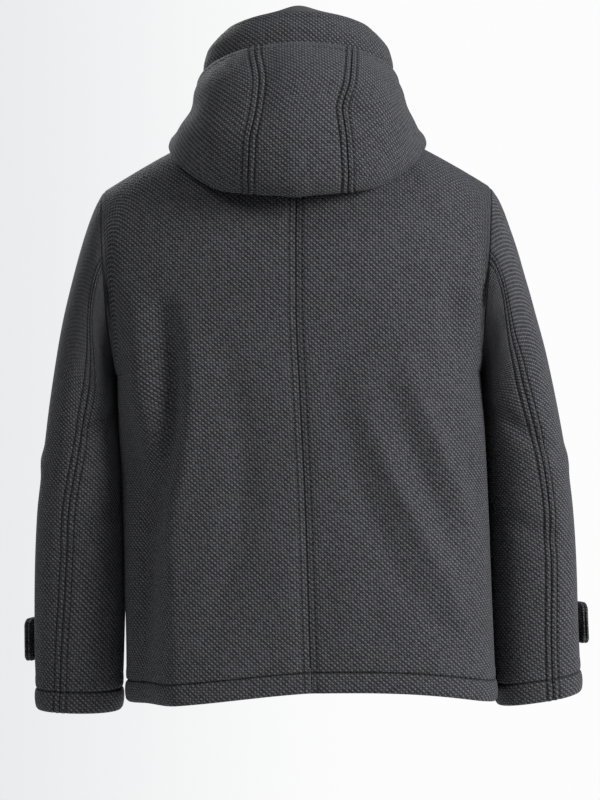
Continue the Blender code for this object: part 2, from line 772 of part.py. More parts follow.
HOOD_STATIONS = ("rim", "top", "mid", "belly", "low", "fold")


def hood_knots(turn):
    knots = []
    angle = math.radians(turn)
    for name in HOOD_STATIONS:
        radius = HOOD.at(name + "_r", turn)
        knots.append(Vector((radius * math.sin(angle), radius * math.cos(angle), HOOD.at(name + "_z", turn))))
    for share in (0.97, 0.66, 0.33, 0.0):
        knots.append(under_hood(turn, share))
    return knots


def hood(turn, way):
    """An outer point of the hood; way runs from its rim at 0, round its fold, to its root at 1."""
    knots = hood_knots(abs(turn))
    place = way * (len(knots) - 1)
    i = min(int(place), len(knots) - 2)
    t = place - i
    a = knots[max(i - 1, 0)]
    b = knots[i]
    c = knots[i + 1]
    d = knots[min(i + 2, len(knots) - 1)]
    point = (
        b * 2 + (c - a) * t + (a * 2 - b * 5 + c * 4 - d) * t * t + (b * 3 - a - c * 3 + d) * t ** 3
    ) / 2
    return Vector((math.copysign(point.x, turn) if turn else 0.0, point.y, point.z))


def hood_normal(turn, way):
    if way == 1:
        return Vector((0, 0, -1))
    around = hood(turn + 1, way) - hood(turn - 1, way)
    along = hood(turn, min(way + 0.01, 1)) - hood(turn, max(way - 0.01, 0))
    return around.cross(along).normalized()


def hood_seam_turn(way, hand):
    """The turn at which one of the hood's seams lies."""
    turn = 25.0
    for _ in range(5):
        point = hood(turn, way)
        radius = math.hypot(point.x, point.y)
        turn = math.degrees(math.asin(min(HOOD_SEAM.at(hand, point.z) / radius, 0.8)))
    return turn


def hood_relief(turn, way):
    return sum(stroke(turn, way * 200, fold) for fold in HOOD_FOLDS)


def hood_panel(name, first, last, columns, ways):
    """A panel between two edges; each edge is -1 or 1 for a side seam, or a turn in degrees."""
    outer, inner = [], []
    for way in ways:
        seams = {1: hood_seam_turn(way, "left"), -1: -hood_seam_turn(way, "right")}
        edges = [seams.get(edge, edge) for edge in (first, last)]
        outer_row, inner_row = [], []
        for j in range(columns + 1):
            turn = mix(edges[0], edges[1], j / columns)
            point = hood(turn, way)
            normal = hood_normal(turn, way)
            point = point + normal * hood_relief(turn, way)
            if (j == 0 and abs(first) == 1) or (j == columns and abs(last) == 1):
                around = (hood(turn + 1, way) - hood(turn - 1, way)).normalized()
                point = point + around * (SEAM_GAP / 2 if j == 0 else -SEAM_GAP / 2)
            outer_row.append(pose(point, 1))
            inner_row.append(pose(point - normal * CLOTH, 1))
        outer.append(outer_row)
        inner.append(inner_row)
    cloth_object(name, outer, inner)


def build_hood():
    count = 24
    ways = [i / count for i in range(count + 1)]
    hood_panel("hood_centre", -1, 1, 7, ways)
    hood_panel("hood_side_left", 1, HOOD_END, 9, ways)
    hood_panel("hood_side_right", -HOOD_END, -1, 9, ways)


def button(name, point, normal):
    """A round button whose back lies just off the cloth at the point."""
    shape = bmesh.new()
    bmesh.ops.create_cone(
        shape,
        cap_ends=True,
        segments=16,
        radius1=BUTTON_RADIUS * MM,
        radius2=BUTTON_RADIUS * MM,
        depth=BUTTON_THICK * MM,
    )
    mesh = bpy.data.meshes.new(name)
    shape.to_mesh(mesh)
    shape.free()
    made = add_object(name, mesh, BUTTON_BLACK, 0.45)
    turned = normal.to_track_quat("Z", "Y").to_matrix().to_4x4()
    middle = point + normal * (BUTTON_THICK / 2 + BUTTON_CLEAR)
    made.matrix_world = Matrix.Translation(middle * MM) @ turned
    bevel = made.modifiers.new("rim", "BEVEL")
    bevel.width = 1.2 * MM
    bevel.segments = 1
    bevel.limit_method = "ANGLE"


def front_down(height):
    """How far down its panel the centre front has a height."""
    if height > ARM_Z:
        return math.acos((height - ARM_Z) / (NECK_Z_FRONT - ARM_Z)) / math.pi
    if height > ARM_LOW:
        return math.acos((height - ARM_Z) / ARM_HALF_HEIGHT) / math.pi
    return 1 + (height - ARM_LOW) / (HEM_Z_FRONT - ARM_LOW)


def build_buttons():
    for i, height in enumerate(BUTTON_HEIGHTS):
        down = front_down(height)
        point = torso("front", 0, down)
        normal = torso_normal("front", 0, down)
        point = point + normal * (front_lift(1, 0, CLOTH) + body_relief("front", 1, point))
        button("front_button_%d" % (i + 1), pose(point, 1), normal)


for old in list(bpy.data.objects):
    bpy.data.objects.remove(old, do_unlink=True)
coat = bpy.data.collections.new("hooded_coat")
bpy.context.scene.collection.children.link(coat)

build_body()
build_sleeves()
build_tabs()
build_collar()
build_hood()
build_buttons()
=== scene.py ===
"""Hooded wool coat in worn form, dressed: woven shells, seams, stitching, buttons and the stage.

The coat's form is worked out here in millimetres, from the same named sizes as its solids, and
turned to metres when a mesh is made. The coat faces -Y and its left is +X.
"""

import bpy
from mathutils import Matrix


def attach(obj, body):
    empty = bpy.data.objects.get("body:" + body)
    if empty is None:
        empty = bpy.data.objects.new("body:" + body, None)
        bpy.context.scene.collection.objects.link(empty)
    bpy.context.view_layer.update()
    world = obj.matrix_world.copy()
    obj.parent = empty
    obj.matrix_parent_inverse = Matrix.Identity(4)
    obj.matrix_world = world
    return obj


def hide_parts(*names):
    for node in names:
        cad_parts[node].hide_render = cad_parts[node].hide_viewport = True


bl_info = {
    "name": "Hooded wool coat",
    "version": (1, 0, 0),
    "blender": (4, 5, 0),
    "location": "3D View > Sidebar > Coat",
    "description": "Dresses a hooded wool coat in worn form",
    "category": "Object",
}

import math

import bpy
import bmesh
import numpy as np
from mathutils import Matrix, Vector

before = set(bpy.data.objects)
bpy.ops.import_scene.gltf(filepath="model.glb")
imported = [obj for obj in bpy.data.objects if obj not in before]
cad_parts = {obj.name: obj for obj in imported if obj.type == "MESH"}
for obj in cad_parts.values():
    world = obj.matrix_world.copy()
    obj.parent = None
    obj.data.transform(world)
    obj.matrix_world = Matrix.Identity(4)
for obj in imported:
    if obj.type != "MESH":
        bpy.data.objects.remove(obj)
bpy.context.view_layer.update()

MM = 0.001
SIDES = ((1, "left"), (-1, "right"))

# ------------------------------------------------------------------ sizes of the coat
# Lengths are in millimetres and turns in degrees from the centre back. A pair gives where a
# change starts and how far it reaches, or the depth and width of a line in the cloth.
CLOTH = 3.0  # thickness of one layer
SEAM_GAP = 0.08  # between two pieces at a seam

# Neck and shoulders
NECK_SIDE = 88.0
NECK_Y = 4.0  # the shoulder seam lies this far behind the middle
NECK_BACK = 78.0
NECK_FRONT = -92.0
NECK_Z_SIDE = -10.0
NECK_Z_BACK = -3.0
NECK_Z_FRONT = -62.0
NECK_SHARE = 0.4  # the part of a panel's width that meets the neckline
SHOULDER_Z = -90.0
SHOULDER_ARCH = 4.0

# Armhole: an oval in one tilted plane
ARM_X = 230.5
ARM_TILT = 0.07
ARM_Z = -204.0
ARM_HALF_HEIGHT = 114.0
ARM_HALF_DEPTH = 90.0
ARM_LOW = ARM_Z - ARM_HALF_HEIGHT

# Body
FACE_SIGN = {"back": 1, "front": -1}  # which way along Y a panel faces
CHEST = {"back": 150.0, "front": -148.0}
HEM_Z = {"back": -693.5, "front": -700.0}
HEM_Z_SIDE = -718.0
HEM_DROP = 7.5  # the back's hem hangs lower on its left
HEM_DROP_SKEW = 1.3
HEM_DROP_FROM = (1.5, 0.5)
SECTION_POWER = 0.64  # 1 gives an ellipse, less a squarer section
LEFT_POWER = 1.1  # the same at the back's left side, under the arm
LEFT_FALL_FROM = (0.7, 0.2)
LEFT_FALL_BELOW = (330.0, 130.0)
CHEST_POWER = 2.4  # how far across the panel keeps its full depth
NECK_POWER = 2.2  # how fast the panel leaves the neck
ARM_POWER = 10  # how near the armhole the panel takes its round edge
SIDEWAYS_BLEND = (0.15, 0.35)  # where the chest's slope turns into the shoulder's round
OVERLAP = 0.0512  # how far past the middle each front reaches, as a share of its width
LAP_CLEAR = 0.4
LIFT_REACH = (0.16, 0.12)  # where the left front comes down on the right one
TILT = 0.0125  # of the whole coat

# Sleeves and cuff tabs
SLEEVE_LENGTH = 643.0
SLEEVE_FRONT_SEAM = -120.0
SLEEVE_POWER = 0.88  # how square a sleeve's section gets below the armhole
RIGHT_SLEEVE_RAISE = 14.0  # of the outer side of the right cuff
SLEEVE_RAISE_FROM = (200.0, 440.0)
TAB_WIDTH = 50.0
TAB_LENGTH = 105.0
TAB_CLOTH = 4.0
TAB_ALONG = 563.0  # the tab's middle, measured down the sleeve
TAB_FRONT = -108.0
TAB_END = 3.0
TAB_STAND = (0.6, 2.4)  # between the sleeve and the tab, at its seam and past it
TAB_LIFT = 3.0  # how far the free end stands off the sleeve
TAB_CORNER = 12.0  # radius of the corners at the free end
TAB_ROUND = 2.4  # how far from its edge a tab gets thinner
TAB_THIN = 0.42  # share of its thickness that each face loses there
TAB_STITCH = 6.5
TAB_SINK = (0.7, 1.2)

# Collar and hood
COLLAR_CLOTH = 4.0
COLLAR_END = 180.0 - 90.0 * OVERLAP / NECK_SHARE
FACING_CLOTH = 2.0
FACING_CLEAR = 0.5
FACING_RISE = 5.0  # of the facing above the collar's edge
FACING_PEAK = 6.0  # added at the centre back
FACING_PEAK_TURN = 14.0
HOOD_END = 112.0
HOOD_CLEAR = 4.0  # between the hood's underside and the body
HOOD_ROOT_CLEAR = 1.2  # between the hood's root and the collar
HOOD_ROOT_RISE = 0.8  # of the hood's root above the neckline
HOOD_HEM = 20.0  # from the hood's rim to the groove round its opening
HOOD_HEM_SINK = (0.8, 1.6)
HOOD_HEM_PUFF = (0.8, 9.0)
HOOD_RUN = 200.0  # the way from rim to root, as the table of the hood's folds counts it
COLLAR_WAVE = (1.2, 34.0)
COLLAR_WAVE_AT = 62.0

# Buttons
BUTTON_RADIUS = 13.0
BUTTON_THICK = 4.5
FRONT_BUTTONS = 5
BUTTON_RIM = 2.6
BUTTON_EDGE = 0.8
BUTTON_DISH = (1.3, 1.0)  # its depth and the width of its slope
HOLE_RADIUS = 1.1
HOLE_AWAY = 2.9  # from the button's middle to each hole's

# Seams and stitches
SEAM_SINK = (1.2, 1.8)
SEAM_PUFF = (0.7, 2.4)
SEAM_PUFF_AT = 4.2
STITCH_SINK = (1.5, 1.5)
STITCH_OFFSET = 7.7  # from a seam to the topstitching beside it
EDGE_SINK = (0.9, 1.4)
EDGE_STITCH = 9.0  # from a plain edge to its row of stitches
HEM_STITCH = 25.5  # from the hem's edge to its row of stitches
HEM_REACH = 42.0  # how far up the turned hem changes the wall
# Heights above a hem's edge and distances from a seam at which a panel has a row of points.
HEM_ROWS = np.array([42, 36, 31, 28.5, 27.2, 26.2, 25.5, 24.8, 23.6, 22, 18, 12, 7, 4, 2.2, 1, 0.3, 0])
SEAM_ROWS = (1.2, 2.6, 4.2, 5.8, 6.9, 7.7, 8.5, 9.6, 11.2, 13.5)
COLLAR_ROWS = (1.2, 3, 5, 6.5, 7.7, 9)
FAR = 900.0  # a distance at which no seam shows


class Table:
    """A short table with named columns, read smoothly between its rows by its first column."""

    def __init__(self, names, *rows):
        columns = np.array(rows, float).T
        self.keys = columns[0]
        self.columns = dict(zip(names.split(), columns))

    def at(self, name, key):
        keys = self.keys
        values = self.columns[name]
        steps = np.diff(keys)
        rises = np.diff(values) / steps
        slopes = np.zeros(len(keys))
        both = rises[:-1] * rises[1:] > 0
        total = np.where(both, rises[:-1] + rises[1:], 1.0)
        slopes[1:-1] = np.where(both, 2 * rises[:-1] * rises[1:] / total, 0.0)
        slopes[0] = rises[0]
        slopes[-1] = rises[-1]
        key = np.clip(np.asarray(key, float), keys[0], keys[-1])
        i = np.clip(np.searchsorted(keys, key, side="right") - 1, 0, len(keys) - 2)
        t = (key - keys[i]) / steps[i]
        return (
            values[i] * (1 + 2 * t) * (1 - t) ** 2
            + values[i + 1] * t * t * (3 - 2 * t)
            + steps[i] * (slopes[i] * t * (1 - t) ** 2 - slopes[i + 1] * t * t * (1 - t))
        )


LEAN = Table(
    "z shift", (-730, -14), (-600, -10), (-476, -6), (-350, 0), (-235, 5), (-150, 5.2), (-75, 3.4), (130, 2)
)

BODY = Table(
    "z half back front side_y",
    (-730, 227, 150, -142, 6),
    (-600, 225.5, 143, -140, 6),
    (-500, 225, 138, -142, 5),
    (-400, 225, 142, -146, 4),
    (-318, 222.6, 147, -148, 4),
)

# The turned-up hem: its rise and thickness by the height above its edge. The stitching lies in a
# groove at its top.
HEM = Table(
    "above lift thick",
    (0, -0.4, 4.4),
    (3, 1.4, 6.2),
    (12, 2.4, 7.0),
    (20, 1.9, 6.6),
    (23.5, 0.6, 5.0),
    (25.5, -1.6, 2.6),
    (27.5, 0.3, 3.2),
    (33, 0.7, 3.0),
    (42, 0.0, 3.0),
)

# swing moves a sleeve's outer side out, apart its inner side.
SLEEVE = Table(
    "down outer_x outer_z inner_x inner_z half_depth mid_y seam_left seam_right"
    " swing_left swing_right apart_left apart_right",
    (0, 238.5, -90, 222.6, -318, 90, 4, 79, 79, 0, 0, 0, 0),
    (20, 250, -107, 223.5, -318.8, 91.5, 4, 80, 79, -3, 0, 0, 0),
    (53, 263, -138, 224.0, -321.5, 92, 3, 83, 80, -5, 0, 0, 0),
    (102, 278, -185, 224.3, -327, 92, 2, 92, 86, -6.5, 0, 0, 0),
    (153, 289, -235, 224.5, -334, 90, 1, 100, 90, -5, 3, 0, 0),
    (219, 301, -300, 224.9, -346, 87, 0, 103, 90, -2.5, 6, 0, 0),
    (275, 310, -355, 225.6, -376, 83, -2, 98, 86, 0, 6, 0, 0),
    (334, 319, -413, 226.1, -422, 78, -5, 91, 78, 1, 5, 0, 0),
    (411, 328, -490, 226.2, -492, 71, -11, 83, 74, 5, 4, 0, 0),
    (491, 333.5, -570, 226.5, -570, 64, -18, 80, 75, 6, 2, 0.6, 0),
    (571, 336.5, -656, 228.4, -657, 59, -24, 75, 78, 6.5, 0, 3.5, 0),
    (643, 338, -730, 232.6, -733, 56, -29, 72, 80, 5, 0, 5, 0),
)

COLLAR = Table(
    "up side back front side_z back_z front_z",
    (0.0, NECK_SIDE, NECK_BACK, NECK_FRONT, NECK_Z_SIDE, NECK_Z_BACK, NECK_Z_FRONT),
    (0.06, 88.5, 78.3, -92.3, -3, 4, -56),
    (0.2, 98, 84, -95, 12, 20, -42),
    (0.45, 114, 95, -99, 38, 48, -18),
    (0.62, 118, 98, -99, 58, 70, 2),
    (0.8, 113, 94, -95, 80, 92, 22),
    (0.93, 99, 84, -88, 98, 109, 38),
    (1.0, 88, 76, -83, 108, 118, 46),
)

HOOD = Table(
    "turn rim_r rim_z top_r top_z mid_r mid_z belly_r belly_z low_r low_z fold_r fold_z",
    (0, 113, 75, 140, 62, 176, 22, 196, -40, 192, -94, 170, -115),
    (30, 115, 71, 138, 58, 172, 20, 191, -34, 187, -84, 167, -105),
    (55, 118, 62, 130, 52, 153, 20, 169, -20, 175, -56, 166, -73),
    (75, 120, 53, 126, 43, 132, 16, 144, -9, 160, -31, 160, -45),
    (90, 122, 47, 124, 37, 127, 13, 134, -7, 153, -23, 154.5, -34),
    (115, 117, 32, 119, 24, 121, 6, 125, -8, 132.5, -18, 134, -27),
)
HOOD_STATIONS = ("rim", "top", "mid", "belly", "low", "fold")

HOOD_SEAM = Table(
    "height left right",
    (-110, 57, 61),
    (-52, 55, 57),
    (-14, 49, 53),
    (24, 46, 61),
    (59, 51, 64),
)

HOOD_REST = Table(
    "turn across down bow",
    (0, 0.0, 0.33, 7),
    (30, 0.18, 0.31, 9),
    (55, 0.44, 0.22, 12),
    (75, 0.545, 0.11, 8),
    (90, 0.585, 0.0, 3.5),
    (115, 0.46, 0.15, 8),
)

# Folds of the body panels. Columns: face, x and z of the start, the bend and the end, width,
# height. The first ones are the large folds that the solids have; the others are drawn finer.
FOLDS = (
    ("back", 156, -245, 140, -355, 184, -490, 15, -23),
    ("back", 180, -470, 194, -560, 202, -650, 14, -11),
    ("back", 190, -230, 192, -330, 186, -420, 14, 7),
    ("back", 226, -150, 223, -220, 219, -290, 9, -7),
    ("back", 128, -262, 132, -385, 166, -520, 19, 5),
    ("back", 88, -290, 46, -440, 112, -620, 20, -5.5),
    ("back", -42, -318, -60, -530, -177, -642, 17, -5),
    ("back", -76, -370, -112, -470, -186, -612, 13, 6),
    ("back", -104, -335, -132, -430, -188, -552, 13, -5),
    ("back", -126, -310, -156, -400, -204, -515, 13, 6),
    ("back", -190, -212, -188, -245, -184, -280, 15, -6),
    ("back", -186, -380, -200, -420, -210, -470, 10, -3),
    ("back", -228, -170, -226, -230, -222, -290, 7, -4),
    ("back", 20, -500, 28, -580, 24, -660, 24, 3.5),
    ("back", -40, -520, -52, -590, -48, -665, 24, 3),
    ("front", 160, -240, 140, -310, 150, -420, 15, -8),
    ("front", -165, -235, -150, -300, -165, -400, 15, -7),
    ("front", 100, -330, 118, -470, 135, -620, 20, 5),
    ("front", -105, -340, -122, -480, -140, -620, 20, 5),
    ("front", 175, -430, 182, -520, 188, -620, 16, -5),
    ("front", -170, -420, -180, -520, -190, -610, 16, -5),
)

# Folds of the sleeves. Columns: hand, turn and way down of the start, the bend and the end,
# width, height.
SLEEVE_FOLDS = (
    ("left", 150, 250, 100, 300, 40, 330, 12, -5),
    ("left", -60, 300, -20, 335, 30, 350, 13, 4),
    ("left", 160, 380, 110, 430, 60, 470, 14, -4),
    ("left", -90, 340, -70, 400, -30, 440, 14, -5),
    ("left", 128, 120, 130, 230, 135, 340, 18, 5),
    ("right", 150, 240, 110, 300, 50, 345, 12, -5),
    ("right", -70, 290, -30, 330, 20, 360, 13, 4),
    ("right", 150, 400, 100, 440, 50, 460, 14, -4),
    ("right", -90, 350, -60, 405, -20, 450, 14, -5),
    ("right", 128, 120, 130, 230, 135, 340, 18, 4),
)

# Folds of the hood. Columns: turn and way down of the start, the bend and the end, width, height.
HOOD_FOLDS = (
    (104, 47, 74, 54, 30, 57, 10, -7),
    (-104, 50, -78, 54, -46, 56, 9, -4),
    (36, 60, 30, 66, 22, 72, 9, 3),
    (-24, 50, -30, 56, -38, 62, 8, 4),
    (-12, 50, -16, 56, -20, 62, 5, -4),
    (14, 26, 12, 44, 13, 62, 5, -4),
)


# ------------------------------------------------------------------ small helpers
def smooth(value):
    value = np.clip(value, 0.0, 1.0)
    return value * value * (3 - 2 * value)


def ramp(value, span):
    """0 up to where the span starts, 1 past its reach, and smooth between."""
    start, reach = span
    return smooth((value - start) / reach)


def mix(first, second, share):
    return first * (1 - share) + second * share


def power(value, exponent):
    return np.sign(value) * np.abs(value) ** exponent


def dot(a, b):
    return np.sum(a * b, axis=-1, keepdims=True)


def unit(vectors):
    return vectors / np.maximum(np.linalg.norm(vectors, axis=-1, keepdims=True), 1e-9)


def points(x, y, z):
    return np.stack(np.broadcast_arrays(x, y, z), axis=-1).astype(float)


def both(first, second):
    return np.broadcast_arrays(np.asarray(first, float), np.asarray(second, float))


def bump(distance, width):
    return np.exp(-((distance / width) ** 2))


def crease(distance, size):
    """A soft line in the cloth, at distances from it; size is its depth and width."""
    depth, width = size
    return depth * bump(distance, width)


def stroke(u, v, fold):
    """Height at (u, v) of one soft fold, which fades out at both ends."""
    u0, v0, u1, v1, u2, v2, width, height = fold
    nearest = np.full(np.shape(u), 1e9)
    share = np.zeros(np.shape(u))
    for t in np.linspace(0, 1, 25):
        a = mix(mix(u0, u1, t), mix(u1, u2, t), t)
        b = mix(mix(v0, v1, t), mix(v1, v2, t), t)
        distance = np.hypot(u - a, v - b)
        share = np.where(distance < nearest, t, share)
        nearest = np.minimum(distance, nearest)
    fade = 0.35 + 0.65 * np.sin(np.pi * share)
    return height * fade * bump(nearest, width)


def pose(grid, side=1):
    """Takes points of the upright coat, x positive, to their side and the coat's slight lean."""
    x = grid[..., 0] * side
    return points(x + LEAN.at("shift", grid[..., 2]), grid[..., 1], grid[..., 2] - TILT * x)


# ------------------------------------------------------------------ body
def neckline(turn):
    angle = np.radians(turn)
    behind = np.asarray(turn) < 90
    reach = np.where(behind, NECK_BACK, -NECK_FRONT + 2 * NECK_Y)
    height = np.where(behind, NECK_Z_BACK, NECK_Z_FRONT)
    y = NECK_Y + (reach - NECK_Y) * np.cos(angle)
    z = NECK_Z_SIDE + (height - NECK_Z_SIDE) * np.cos(angle) ** 2
    return points(NECK_SIDE * np.sin(angle), y, z)


def armhole_x(z):
    return ARM_X + ARM_TILT * (z - ARM_Z)


def armhole_normal(turn):
    angle = np.radians(turn)
    up = np.cos(angle) / ARM_HALF_HEIGHT
    return unit(points(ARM_TILT * up, np.sin(angle) / ARM_HALF_DEPTH, up))


ARM_AWAY = unit(np.array([1.0, 0.0, -ARM_TILT]))


def top_edge(face, across):
    turn = 90 * np.minimum(across, NECK_SHARE) / NECK_SHARE
    neck = neckline(turn if face == "back" else 180 - turn)
    share = (np.clip(across, NECK_SHARE, 1)[..., None] - NECK_SHARE) / (1 - NECK_SHARE)
    shoulder = mix(neckline(90.0), np.array([armhole_x(SHOULDER_Z), NECK_Y, SHOULDER_Z]), share)
    shoulder = shoulder + np.array([0, 0, SHOULDER_ARCH]) * 4 * share * (1 - share)
    return np.where((across > NECK_SHARE)[..., None], shoulder, neck)


def torso(face, across, down):
    """Outer points of a body panel. across is 0 at the centre line and 1 at the armhole or side
    seam; down is 0 at the neck and shoulder edge, 1 at the underarm and 2 at the hem."""
    across, down = both(across, down)
    hand = np.where(across < 0, -1.0, 1.0)
    across = np.abs(across)
    out = np.sin(np.radians(90 * across)) ** SECTION_POWER
    round_off = np.maximum(np.cos(np.radians(90 * across)), 0.0) ** SECTION_POWER
    sign = FACE_SIGN[face]

    hem = mix(HEM_Z[face], HEM_Z_SIDE, out ** 3)
    z = mix(ARM_LOW, hem, np.maximum(down - 1, 0))
    lower = points(
        BODY.at("half", z) * out * hand,
        mix(BODY.at("side_y", z), BODY.at(face, z), round_off),
        z,
    )

    top = top_edge(face, across)
    angle = np.pi * np.minimum(down, 1)
    middle_y = mix(NECK_Y + sign * ARM_HALF_DEPTH, CHEST[face], 1 - out**CHEST_POWER)
    above = down <= 0.5
    fall = np.where(above, 1 - np.cos(angle), -np.cos(angle))
    sloped = 1 - np.maximum(1 - fall, 0) ** NECK_POWER
    high_y = mix(top[..., 1], middle_y, mix(sloped, np.sin(angle), ramp(across, SIDEWAYS_BLEND)))
    low_y = mix(BODY.at("side_y", ARM_LOW), BODY.at(face, ARM_LOW), round_off)
    rounded = np.sqrt(np.clip(1 - fall * fall, 0, 1))
    low_y = mix(low_y, middle_y, mix(1 - smooth(fall), rounded, out**ARM_POWER))
    reach = np.where(above, top[..., 2] - ARM_Z, ARM_HALF_HEIGHT)
    edge_x = armhole_x(ARM_Z + ARM_HALF_HEIGHT * np.cos(angle))
    share = mix(top[..., 0] / armhole_x(SHOULDER_Z), out, smooth(down / 0.5))
    upper = points(edge_x * share * hand, np.where(above, high_y, low_y), ARM_Z + reach * np.cos(angle))
    return np.where((down > 1)[..., None], lower, upper)


def torso_normal(face, across, down):
    """The direction of a panel's thickness, shared at every seam."""
    across, down = both(across, down)
    sign = FACE_SIGN[face]
    step = 0.004
    left = torso(face, np.maximum(across - step, -OVERLAP - step), down)
    right = torso(face, np.minimum(across + step, 1), down)
    above = torso(face, across, np.maximum(down - step, 0))
    below = torso(face, across, np.minimum(down + step, 2))
    normal = np.cross(right - left, below - above)
    wrong = (normal[..., 1] * sign < 0) | ((across > 0.9) & (normal[..., 0] < 0))
    normal = unit(np.where(wrong[..., None], -normal, normal))

    side_seam = (across >= 1) & (down > 1)
    normal = np.where(side_seam[..., None], normal * np.array([1, 0, 1]), normal)
    normal = np.where((across == 0)[..., None], normal * np.array([0, 1, 1]), normal)

    turn = 180 * np.minimum(down, 1)
    flat = smooth((turn - 100) / 80)[..., None]
    rim = mix(armhole_normal(turn) * np.array([1, sign, 1]), ARM_AWAY, flat)
    normal = np.where(((across >= 1) & (down <= 1))[..., None], rim, normal)

    neck = np.radians(90 * np.clip(across, -NECK_SHARE, NECK_SHARE) / NECK_SHARE)
    level = points(np.sin(neck), sign * np.cos(neck), 0.0)
    corner = smooth((across - NECK_SHARE + 0.02) / 0.04)[..., None]
    shoulder = mix(level, np.array([0.5, 0.0, 0.87]), corner)
    top = (down == 0) & (across < 1)
    return unit(np.where(top[..., None], shoulder, normal))


def body_relief(face, side, grid):
    total = np.zeros(grid.shape[:-1])
    for where, *fold in FOLDS:
        if where == face:
            total += stroke(grid[..., 0] * side, grid[..., 2], fold)
    return total


def front_lift(side, across, thick):
    """The left front laps over the right one, clear of its thickness."""
    return (thick + LAP_CLEAR) * (1 - ramp(across, LIFT_REACH)) * (side > 0)


# ------------------------------------------------------------------ sleeves
def sleeve(hand, turn, down):
    angle = np.radians(turn)
    outer_x = SLEEVE.at("outer_x", down) + SLEEVE.at("swing_" + hand, down)
    inner_x = SLEEVE.at("inner_x", down) + SLEEVE.at("apart_" + hand, down)
    outer = points(outer_x, 0.0, SLEEVE.at("outer_z", down))
    inside = points(inner_x, 0.0, SLEEVE.at("inner_z", down))
    squareness = mix(1.0, SLEEVE_POWER, smooth(np.asarray(down) / 200))
    grid = (outer + inside) / 2 + (outer - inside) / 2 * power(np.cos(angle), squareness)[..., None]
    y = SLEEVE.at("mid_y", down) + SLEEVE.at("half_depth", down) * power(np.sin(angle), squareness)
    return points(grid[..., 0], y, grid[..., 2])


def sleeve_normal(hand, turn, down):
    turn, down = both(turn, down)
    step = 2.0
    around = sleeve(hand, turn + 1, down) - sleeve(hand, turn - 1, down)
    low = sleeve(hand, turn, np.minimum(down + step, SLEEVE_LENGTH))
    high = sleeve(hand, turn, np.maximum(down - step, 0))
    normal = unit(np.cross(low - high, around))
    return np.where((down == 0)[..., None], armhole_normal(turn), normal)


def sleeve_relief(hand, turn, down):
    signed = (turn + 180) % 360 - 180
    total = np.zeros(np.shape(signed))
    for where, *fold in SLEEVE_FOLDS:
        if where == hand:
            total += stroke(signed, down, fold)
    return total * smooth(down / 60)


def sleeve_raise(side, turn, down):
    """The right sleeve is a little shorter on its outer side."""
    outward = (1 + np.cos(np.radians(turn))) / 2
    return RIGHT_SLEEVE_RAISE * outward * ramp(down, SLEEVE_RAISE_FROM) * (side < 0)


# ------------------------------------------------------------------ collar and hood
def collar(turn, up):
    angle = np.radians(turn)
    behind = np.abs(turn) < 90
    reach = np.where(behind, COLLAR.at("back", up), -COLLAR.at("front", up) + 2 * NECK_Y)
    end_z = np.where(behind, COLLAR.at("back_z", up), COLLAR.at("front_z", up))
    side_z = COLLAR.at("side_z", up)
    y = NECK_Y + (reach - NECK_Y) * np.cos(angle)
    z = side_z + (end_z - side_z) * np.cos(angle) ** 2 + SEAM_GAP
    return points(COLLAR.at("side", up) * np.sin(angle), y, z)


def collar_normal(turn, up):
    turn, up = both(turn, up)
    around = collar(turn + 1, up) - collar(turn - 1, up)
    rising = collar(turn, np.minimum(up + 0.02, 1)) - collar(turn, np.maximum(up - 0.02, 0))
    away = points(np.sin(np.radians(turn)), np.cos(np.radians(turn)), 0.0)
    normal = unit(np.cross(around, rising))
    normal = np.where(dot(normal, away) < 0, -normal, normal)
    return np.where((up == 0)[..., None], away, normal)


def under_hood(turn, share):
    """Points just outside the body, from the neckline at 0 to where the hood leaves it at 1."""
    angle = np.radians(turn)
    away = points(np.sin(angle), np.cos(angle), 0.0)
    root = neckline(turn) + away * HOOD_ROOT_CLEAR + np.array([0, 0, HOOD_ROOT_RISE])
    across = HOOD_REST.at("across", turn)
    down = HOOD_REST.at("down", turn)
    behind = (turn <= 90)[..., None]
    below = np.maximum(down, 0.004)  # past the neckline, where the normals lie level
    normal = np.where(behind, torso_normal("back", across, below), torso_normal("front", across, below))
    rest = np.where(behind, torso("back", across, down), torso("front", across, down))
    rest = rest + normal * HOOD_CLEAR
    rise = unit(away + np.array([0, 0, 1.5])) * HOOD_REST.at("bow", turn)[..., None]
    return mix(root, rest, share) + rise * 4 * share * (1 - share)


def hood(turn, way):
    """Outer points of the hood; way runs from its rim at 0, round its fold, to its root at 1."""
    turn, way = both(turn, way)
    swing = np.abs(turn)
    angle = np.radians(swing)
    knots = []
    for name in HOOD_STATIONS:
        radius = HOOD.at(name + "_r", swing)
        knots.append(points(radius * np.sin(angle), radius * np.cos(angle), HOOD.at(name + "_z", swing)))
    knots += [under_hood(swing, share) for share in (0.97, 0.66, 0.33, 0.0)]
    knots = np.stack(knots)
    place = way * (len(knots) - 1)
    i = np.minimum(place.astype(int), len(knots) - 2)
    t = (place - i)[..., None]

    def knot(index):
        index = np.clip(index, 0, len(knots) - 1)
        return np.take_along_axis(knots, index[None, ..., None], axis=0)[0]

    a, b, c, d = knot(i - 1), knot(i), knot(i + 1), knot(i + 2)
    grid = (
        b * 2 + (c - a) * t + (a * 2 - b * 5 + c * 4 - d) * t * t + (b * 3 - a - c * 3 + d) * t ** 3
    ) / 2
    return points(grid[..., 0] * np.sign(turn), grid[..., 1], grid[..., 2])


def hood_normal(turn, way):
    around = hood(turn + 1, way) - hood(turn - 1, way)
    along = hood(turn, np.minimum(way + 0.01, 1)) - hood(turn, np.maximum(way - 0.01, 0))
    normal = unit(np.cross(around, along))
    return np.where((way >= 1)[..., None], np.array([0.0, 0.0, -1.0]), normal)


